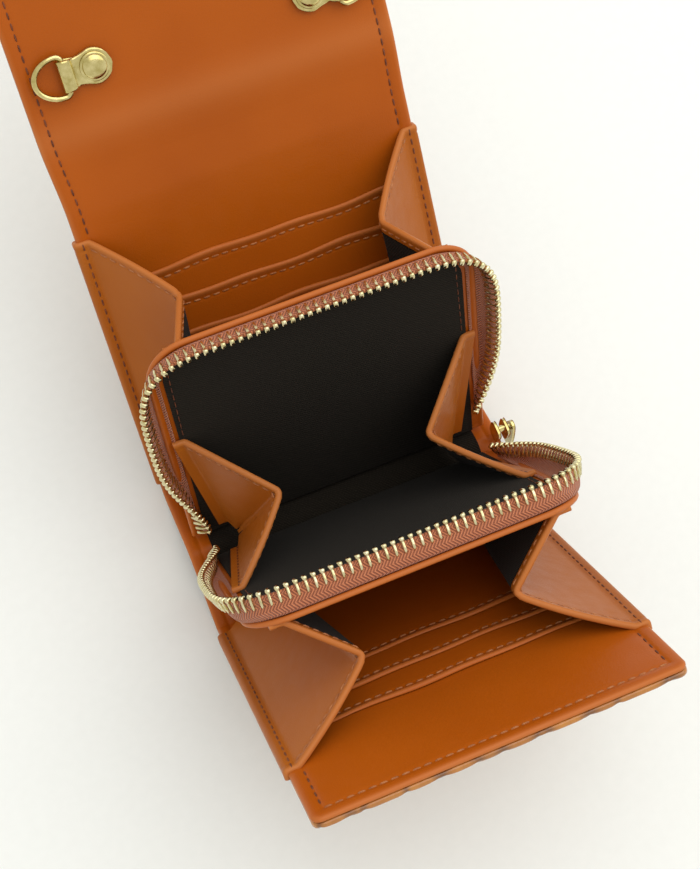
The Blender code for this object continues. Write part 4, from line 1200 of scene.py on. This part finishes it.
def add_zip_wall(side, wall, body):
    """Leather outside with a rolled rim and a sewn edge, twill inside with its seams."""
    place = wall_place(wall)
    h = ZIP_LOW + spread(ZIP_HEIGHT - ZIP_LOW, 3.5, True, True)
    arcs = ZIP_HEIGHT - ZIP_CORNER_RADIUS * (1 - np.sin(np.linspace(0, math.pi / 2, 9)[1:-1]))
    h = np.unique(np.round(np.concatenate([h, arcs]), 3))
    h = h[np.concatenate([[True], np.diff(h) > 0.06])]
    half = ZIP_HALF - narrowing(h, ZIP_LOW, ZIP_HEIGHT, 0.0, ZIP_CORNER_RADIUS)
    x, h = side_to_side(half, h, ZIP_HALF, 4.0)
    edge = edge_distance(x, h, np.full_like(x, ZIP_HALF), ZIP_LOW, ZIP_HEIGHT, 0.01,
                         ZIP_CORNER_RADIUS)
    grid = place(x, h, np.zeros_like(x))
    normals = np.broadcast_to(wall.inward, grid.shape)
    near = WALL_LEATHER / 2 + 0.28 * bell(edge - 0.9, 0.7) - rounding(edge, 0.7)
    seam = WALL_RELIEF * (bell(edge - 1.4, 1.0) - bell(edge - WALL_SEAM, 0.45))
    slack = 0.12 * ripple(x, h, 2.0) * np.clip(edge / 6, 0, 1)
    far = rounding(edge, 0.7) - (WALL_LEATHER / 2 + seam + slack)
    # rim: painted highlight along the wall's rolled edge
    piece = add_shell("zip_%s_wall_leather" % side, TAN, grid, normals, near, far,
                      np.stack([x, h + 600], -1), {"rim": np.clip(1 - edge / 1.4, 0, 1)})
    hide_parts("zip_%s_wall" % side)
    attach(piece, body)
    reach, top = ZIP_HALF - WALL_SEAM, ZIP_HEIGHT - WALL_SEAM
    run = along_surface(place, [(-reach, ZIP_LOW + 2), (-reach, top), (reach, top),
                                (reach, ZIP_LOW + 2)], -WALL_LEATHER / 2 + 0.06, radius=10.0)
    run = (run[0], -run[1])
    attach(add_stitches("stitches_zip_%s_wall" % side, [run]), body)
    add_zip_lining(side, wall, body, place)


def add_zip_floor():
    """Twill across the bottom of the zip compartment, from one wall's lining to the other's."""
    lift = (CLOTH_START + CLOTH_END) / 2
    over = CLEARANCE + (CLOTH_END - CLOTH_START) / 2
    middle = INNER.nearest(MIDDLE_UNDER)
    spots, normals = INNER.follow(middle + np.linspace(-ZIP_FLOOR_REACH, ZIP_FLOOR_REACH, 15))
    spots = spots + normals * over
    front, back = (w.at(0, ZIP_LOW + 1.5, lift)[1:] for w in (ZIP_FRONT, ZIP_BACK))
    line = np.concatenate([[front], spots, [back]])
    lengths = run_of(line)
    run = np.linspace(0, lengths[-1], 24)
    line = sample(run, lengths, line)
    half = ZIP_HALF - CLOTH_INSET
    x = np.linspace(-half, half, 27)
    grid = np.concatenate([np.tile(x[None, :, None], (len(line), 1, 1)),
                           np.tile(line[:, None], (1, len(x), 1))], -1)
    normals = grid_normals(grid)
    normals *= np.sign(normals[..., 2:])
    half_thick = np.full(grid.shape[:2], (CLOTH_END - CLOTH_START) / 2)
    uv = np.stack([np.tile(x, (len(line), 1)), np.tile(run[:, None] - 60, (1, len(x)))], -1)
    piece = add_shell("zip_floor_twill", TWILL, grid, normals, half_thick, -half_thick, uv)
    bend_with(piece, "middle")


def add_zip_lining(side, wall, body, place):
    """Twill on the inside of the wall, with a narrow seam up from each gusset's fold."""
    half, low, high = ZIP_HALF - CLOTH_INSET, ZIP_LOW + 1, ZIP_HEIGHT - CLOTH_INSET
    radius = ZIP_CORNER_RADIUS - CLOTH_INSET
    h = low + spread(high - low, 4.0, False, True)
    half_here = half - narrowing(h, low, high, None, radius)
    share = spread(2 * half, 4.0, True, True) / half - 1
    x = share[None, :] * half_here[:, None]
    h = np.repeat(h[:, None], len(share), axis=1)
    line = ZIP_HALF - ZIP_WALL_FOLD[0] - 0.4
    seam = 0.12 * bell(np.abs(x) - line, 0.5)
    grid = place(x, h, np.full_like(x, (CLOTH_START + CLOTH_END) / 2))
    normals = np.broadcast_to(wall.inward, grid.shape)
    slack = 0.10 * ripple(x, h, 4.0)
    near = (CLOTH_END - CLOTH_START) / 2 + slack - seam
    far = np.full_like(near, -(CLOTH_END - CLOTH_START) / 2 + 0.02)
    piece = add_shell("zip_%s_twill" % side, TWILL, grid, normals, near, far,
                      np.stack([x, h + 40], -1))
    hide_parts("zip_%s_lining" % side)
    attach(piece, body)
    runs = [along_surface(place, [(k * line, ZIP_GUSSET_HEIGHT + 1), (k * (line - 0.6), high - 1)],
                          CLOTH_END - 0.02) for k in (-1, 1)]
    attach(add_stitches("stitches_zip_%s_twill" % side, runs, DARK_THREAD, radius=0.16), body)


# ---------------------------------------------------------------- metal
def add_tube(name, material, route, radius, sides=14):
    """A closed ring of round wire along a list of points."""
    route = np.asarray(route)
    ways = unit(np.roll(route, -1, axis=0) - np.roll(route, 1, axis=0))
    plane = unit(np.cross(route[1] - route[0], route[len(route) // 3] - route[0]))
    across = np.cross(ways, plane)
    turns = turns_of(sides)
    points = (route[:, None] + radius * (across[:, None] * np.cos(turns)[None, :, None]
                                         + plane * np.sin(turns)[None, :, None]))
    count = len(route)
    faces = [(r * sides + k, r * sides + (k + 1) % sides, (r + 1) % count * sides + (k + 1) % sides,
              (r + 1) % count * sides + k) for r in range(count) for k in range(sides)]
    return add_mesh(name, material, points.reshape(-1, 3), faces)


def add_turned(name, material, place, x, h, profile, sides=48):
    """A turned piece on a slope; profile is (radius, d) from its foot to its crown."""
    turns = turns_of(sides)
    points = [place(x + r * np.cos(turns), h + r * np.sin(turns), np.full(sides, d))
              for r, d in profile]
    faces = ring_faces(len(profile), sides)
    faces.append(tuple(range(sides)))
    last = (len(profile) - 1) * sides
    faces.append(tuple(range(last + sides - 1, last - 1, -1)))
    return add_mesh(name, material, np.concatenate(points), faces, sharp=40)


RING_WIRE = 1.7
RING_HEIGHT = 13.2
RING_DEPTH = 10.6
RING_CORNER = 1.6
RING_TAB_FROM_FOLD = 16.2
RING_SIDE = FLAP_HALF - 13.4  # middle of the bar, from the wallet's middle
TAB_METAL = 0.7
TAB_LENGTH = 13.4
TAB_WIDTH = 8.8
TAB_WAIST = 0.45           # each side comes in by this much, at this distance from the bar
TAB_WAIST_AT = 3.4
TAB_END = 5.2              # radius of the round end of the tab
RIVET_RADIUS = 4.1
RIVET_FOOT = 0.55          # rivet's flange above the tab
RIVET_PROFILE = (          # in from its rim, and up from the top of its flange
    (0.2, -0.55), (0, -0.4), (0, -0.22), (0.2, -0.08), (0.65, -0.1), (0.8, 0.12), (1.2, 0.36),
    (2.0, 0.56), (3.0, 0.68))
RIVET_MIDDLE, RIVET_CROWN = 0.4, 0.74
RING_LIFT = RING_WIRE / 2 + TAB_METAL + 2 * CLEARANCE


def ring_outline():
    """Middle line of a D-ring's wire: its straight bar, two tight corners and its bow."""
    tall = (RING_HEIGHT - RING_WIRE) / 2
    deep = RING_DEPTH - RING_WIRE - RING_CORNER
    corner = np.array([(RING_CORNER * (1 - math.cos(t)), tall - RING_CORNER * (1 - math.sin(t)))
                       for t in np.linspace(0, math.pi / 2, 6)[1:]])
    bar = [(0, y) for y in np.linspace(RING_CORNER - tall, tall - RING_CORNER, 8)]
    bow = [(RING_CORNER + deep * math.cos(t), tall * math.sin(t))
           for t in np.linspace(math.pi / 2, -math.pi / 2, 30)[1:-1]]
    return np.concatenate([bar, corner, bow, corner[::-1] * (1, -1)])


def add_ring_set(hand, sign):
    """D-ring, the tab folded round its bar, and the domed rivet through the tab."""
    place = wall_place(FLAP_TOP)
    bar, h = RING_SIDE * sign, RING_TAB_FROM_FOLD
    wire = RING_WIRE / 2
    spots = ring_outline()
    line = place(bar + sign * spots[:, 0], h + spots[:, 1], np.full(len(spots), RING_LIFT))
    ring = add_tube("d_ring_wire_" + hand, GOLD, line, wire)
    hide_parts("d_ring_" + hand)
    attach(ring, "ring_" + hand)
    add_ring_tab(hand, sign, place, bar, h)
    top = RING_LIFT - wire - CLEARANCE + 1.5 * TAB_METAL + RIVET_FOOT
    profile = [(RIVET_RADIUS - inset, top + rise) for inset, rise in RIVET_PROFILE]
    profile.append((RIVET_MIDDLE, top + RIVET_CROWN))
    rivet = add_turned("ring_rivet_cap_" + hand, GOLD, place,
                       bar - sign * (TAB_LENGTH - RIVET_RADIUS - 1.0), h, profile)
    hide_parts("ring_rivet_" + hand)
    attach(rivet, "flap_top")


def add_ring_tab(hand, sign, place, bar, h):
    """Sheet metal folded double: wide round at the rivet, waisted, straight at the ring's bar."""
    wire = RING_WIRE / 2
    loop = wire + CLEARANCE + TAB_METAL / 2
    under = RING_LIFT - loop
    over = under + TAB_METAL + 0.12
    run = [(TAB_LENGTH - t, under) for t in np.linspace(0, TAB_LENGTH, 16)]
    run += [(-loop * math.sin(t), RING_LIFT - loop * math.cos(t))
            for t in np.linspace(0, math.pi, 14)[1:]]
    run += [(1.0, RING_LIFT + loop - 0.1), (2.0, (RING_LIFT + loop + over) / 2 + 0.2),
            (2.9, over + 0.12)]
    run += [(t, over) for t in np.linspace(3.8, TAB_LENGTH, 12)]
    run = np.array(run)
    ways = unit(np.gradient(run, axis=0))
    offs = np.stack([-ways[:, 1], ways[:, 0]], -1)
    from_end = TAB_LENGTH - np.clip(run[:, 0], 0, TAB_LENGTH)
    round_half = np.sqrt(np.maximum(TAB_END ** 2 - np.maximum(TAB_END - from_end, 0) ** 2, 0.3))
    waist = TAB_WIDTH / 2 - TAB_WAIST * bell(run[:, 0] - TAB_WAIST_AT, 1.4)
    blend = smooth_step((from_end - TAB_END) / 3.0)
    half = round_half * (1 - blend) + waist * blend
    widths = np.array((-1, -0.96, -0.85, -0.4, 0, 0.4, 0.85, 0.96, 1.0))
    x = bar - sign * run[:, :1] + 0 * widths
    spots = place(x, h + half[:, None] * widths[None], run[:, 1:] + 0 * widths)
    ahead = place(x - sign * offs[:, :1], h + half[:, None] * widths[None],
                  run[:, 1:] + offs[:, 1:] + 0 * widths)
    normals = ahead - spots
    thick = np.repeat((TAB_METAL / 2 - 0.18 * (np.abs(widths) > 0.99))[None], len(run), 0)
    uv = np.zeros((*thick.shape, 2))
    tab = add_shell("ring_tab_plate_" + hand, GOLD, spots, normals, thick, -thick, uv)
    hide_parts("ring_tab_" + hand)
    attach(tab, "flap_top")


SNAP_FROM_EDGE = 18.0      # socket from the flap's free edge
SNAP_AT_FRONT = 33.0       # stud from the front panel's free edge


def add_snap():
    """Two halves of the magnetic snap: a dished socket on the flap, a stud on the front."""
    lift = CLEARANCE
    socket = [(6.6, lift - 0.3), (7.0, lift), (7.0, lift + 0.9), (6.7, lift + 1.4),
              (6.1, lift + 1.75), (5.2, lift + 1.8), (4.6, lift + 1.6), (4.1, lift + 1.0),
              (3.4, lift + 0.7), (0.4, lift + 0.7)]
    piece = add_turned("snap_socket_cup", GOLD, wall_place(FLAP_END), 0,
                       FLAP_END_LENGTH - SNAP_FROM_EDGE, socket)
    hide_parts("snap_socket")
    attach(piece, "flap_end")
    out = -PANEL_OUT - CLEARANCE
    stud = [(6.6, out + 0.3), (7.0, out), (7.0, out - 0.5), (6.6, out - 0.85), (5.6, out - 1.05),
            (2.9, out - 1.1), (2.6, out - 1.5), (2.4, out - 2.0), (1.9, out - 2.3), (0.4, out - 2.4)]
    piece = add_turned("snap_stud_cap", GOLD, wall_place(FRONT), 0, FRONT_HEIGHT - SNAP_AT_FRONT,
                       stud)
    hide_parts("snap_stud")
    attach(piece, "front_panel")


def prism(name, material, outline, thickness, to_world, bevel):
    """A plate from an outline, its edges rounded."""
    mesh = bpy.data.meshes.new(name + "_flat")
    count = len(outline)
    points = [(a, b, t) for t in (-thickness / 2, thickness / 2) for a, b in outline]
    faces = [tuple(range(count)), tuple(range(2 * count - 1, count - 1, -1))]
    faces += [(i, (i + 1) % count, count + (i + 1) % count, count + i) for i in range(count)]
    mesh.from_pydata(points, [], faces)
    work = bmesh.new()
    work.from_mesh(mesh)
    rims = [e for e in work.edges if abs(e.verts[0].co.z - e.verts[1].co.z) < 1e-6]
    bmesh.ops.bevel(work, geom=rims, offset=bevel, segments=3, profile=0.6, affect="EDGES")
    work.to_mesh(mesh)
    work.free()
    points = np.array([to_world(*v.co) for v in mesh.vertices])
    faces = [tuple(p.vertices) for p in mesh.polygons]
    bpy.data.meshes.remove(mesh)
    return add_mesh(name, material, points, faces, sharp=35)


PULL_ABOVE = 1.4           # the pull's upper end above its axis
SLIDER_PLATE = 0.9         # thickness
BRIDGE_RISE, BRIDGE_REACH = 2.0, 3.0
BRIDGE_WIRE = 0.42         # radius


def add_slider():
    """Slider with two shield-shaped plates, the post between them, its bridge and its pull."""
    low, high = (np.array(c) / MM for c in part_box("zip_slider"))
    centre = (low + high) / 2
    half = (high - low) / 2
    outline = []
    for t in turns_of(40):
        wide = half[1] * (1.0 - 0.14 * (1 - math.sin(t)))
        outline.append((squared(math.cos(t), 0.5) * wide, squared(math.sin(t), 0.6) * half[2]))

    def at(offset):
        return lambda a, b, t: centre + np.array((offset + t, a, b))

    plates = [prism("slider_plate_%d" % n, GOLD, outline, SLIDER_PLATE,
                    at(k * (half[0] - SLIDER_PLATE / 2)), 0.3) for n, k in ((1, -1), (2, 1))]
    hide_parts("zip_slider")
    oval = [(math.cos(t), 2.0 + 1.5 * math.sin(t)) for t in turns_of(20)]
    post = prism("slider_post", GOLD, oval, 2 * (half[0] - SLIDER_PLATE) + 0.2, at(0), 0.1)
    arch = [(half[0] - 0.2 + BRIDGE_RISE * math.sin(t), 0, BRIDGE_REACH * math.cos(t))
            for t in np.linspace(0, math.pi, 16)]
    arch += [(half[0] - 0.3, 0, z) for z in np.linspace(-2.9, 2.9, 8)[1:-1]]
    bridge = add_tube("slider_bridge", GOLD, [centre + np.array(p) for p in arch], BRIDGE_WIRE, 10)
    for piece in plates + [post, bridge]:
        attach(piece, "slider")
    axis = PIVOT["pull_swing"]
    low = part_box("zip_pull")[0][2] / MM - axis[2]
    outline = []
    for t in turns_of(44):
        height = (low + PULL_ABOVE) / 2 + math.sin(t) * (PULL_ABOVE - low) / 2
        wide = 3.0 - 1.5 * float(smooth_step((height - low - 3) / (PULL_ABOVE - low)))
        outline.append((squared(math.cos(t), 0.45) * wide, height))
    pull = prism("zip_pull_plate", GOLD, outline, 1.0,
                 lambda a, b, t: axis + np.array((t + 0.1, a, b)), 0.3)
    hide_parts("zip_pull")
    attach(pull, "puller")


# ---------------------------------------------------------------- the room
CAMERA_PLACE = (-0.07609, -0.13584, 0.52304)
CAMERA_RIGHT = Vector((0.92225526, -0.38286468, 0.05347772))
CAMERA_UP = Vector((0.35278952, 0.89010946, 0.28852159))
CAMERA_LENS = 70.08


def add_camera():
    """From above the front, a little to the left, and turned about its own line of sight."""
    camera = bpy.data.objects.new("camera", bpy.data.cameras.new("camera"))
    bpy.context.collection.objects.link(camera)
    turn = Matrix((CAMERA_RIGHT, CAMERA_UP, CAMERA_RIGHT.cross(CAMERA_UP))).transposed().to_4x4()
    camera.matrix_world = Matrix.Translation(CAMERA_PLACE) @ turn
    camera.data.lens = CAMERA_LENS
    camera.data.clip_start, camera.data.clip_end = 0.01, 20
    bpy.context.scene.camera = camera


def add_light(name, place, target, size, watts, colour):
    lamp = bpy.data.lights.new(name, "AREA")
    lamp.shape = "RECTANGLE"
    lamp.size, lamp.size_y = size
    lamp.energy = watts
    lamp.color = colour
    light = bpy.data.objects.new(name, lamp)
    bpy.context.collection.objects.link(light)
    light.location = place
    light.rotation_euler = (Vector(target) - Vector(place)).to_track_quat("-Z", "Y").to_euler()


FLOOR_REACH = 6            # metres, as the lights' places are
PAPER = (0.86, 0.875, 0.84, 1)
PAPER_DEEP = (0.845, 0.86, 0.825, 1)
SKY = (1.0, 1.0, 0.98, 1)
SKY_STRENGTH = 0.82
KEY_PLACE = (0.60, 0.10, 1.35)
KEY_TARGET = (0, 0.02, 0.03)
KEY_SIZE = 1.9
KEY_WATTS = 14.5
KEY_COLOUR = (1.0, 0.99, 0.97)


def add_room():
    mesh = bpy.data.meshes.new("floor")
    reach = FLOOR_REACH
    corners = [(-reach, -reach, 0), (reach, -reach, 0), (reach, reach, 0), (-reach, reach, 0)]
    mesh.from_pydata(corners, [], [(0, 1, 2, 3)])
    floor = bpy.data.objects.new("floor", mesh)
    bpy.context.collection.objects.link(floor)
    material, g = new_material("paper")
    fibre = g.noise(g.solid(), 300.0, 3.0)
    g.set(Base_Color=g.mix(g.ramp(fibre, 0.3, 0.7), PAPER_DEEP, PAPER),
          Roughness=0.9, Normal=g.bump(fibre, 0.0001, 0.1))
    mesh.materials.append(material)
    world = bpy.data.worlds.new("studio")
    world.use_nodes = True
    world.node_tree.nodes["Background"].inputs[0].default_value = SKY
    world.node_tree.nodes["Background"].inputs[1].default_value = SKY_STRENGTH
    bpy.context.scene.world = world
    add_light("key", KEY_PLACE, KEY_TARGET, (KEY_SIZE, KEY_SIZE), KEY_WATTS, KEY_COLOUR)
    bpy.context.scene.view_settings.view_transform = "Standard"


def dress_cad_nodes():
    """The boards stay as they are, inside the panels, with their own surface."""
    for name in ("front_board", "back_board"):
        node = frame["nodes"][name]
        for place in node.material_slots:
            place.material = BOARD


add_camera()
add_room()
add_cover()
add_cover_stitches()
add_card_slots()
add_gussets()
for side, wall, body, row in (("front", ZIP_FRONT, "zip_front", ZIP_FRONT_ROW),
                              ("back", ZIP_BACK, "root", ZIP_BACK_ROW)):
    add_zip_wall(side, wall, body)
    add_zip_half(side, wall, body, *row)
add_zip_floor()
add_ring_set("left", -1)
add_ring_set("right", 1)
add_snap()
add_slider()
dress_cad_nodes()
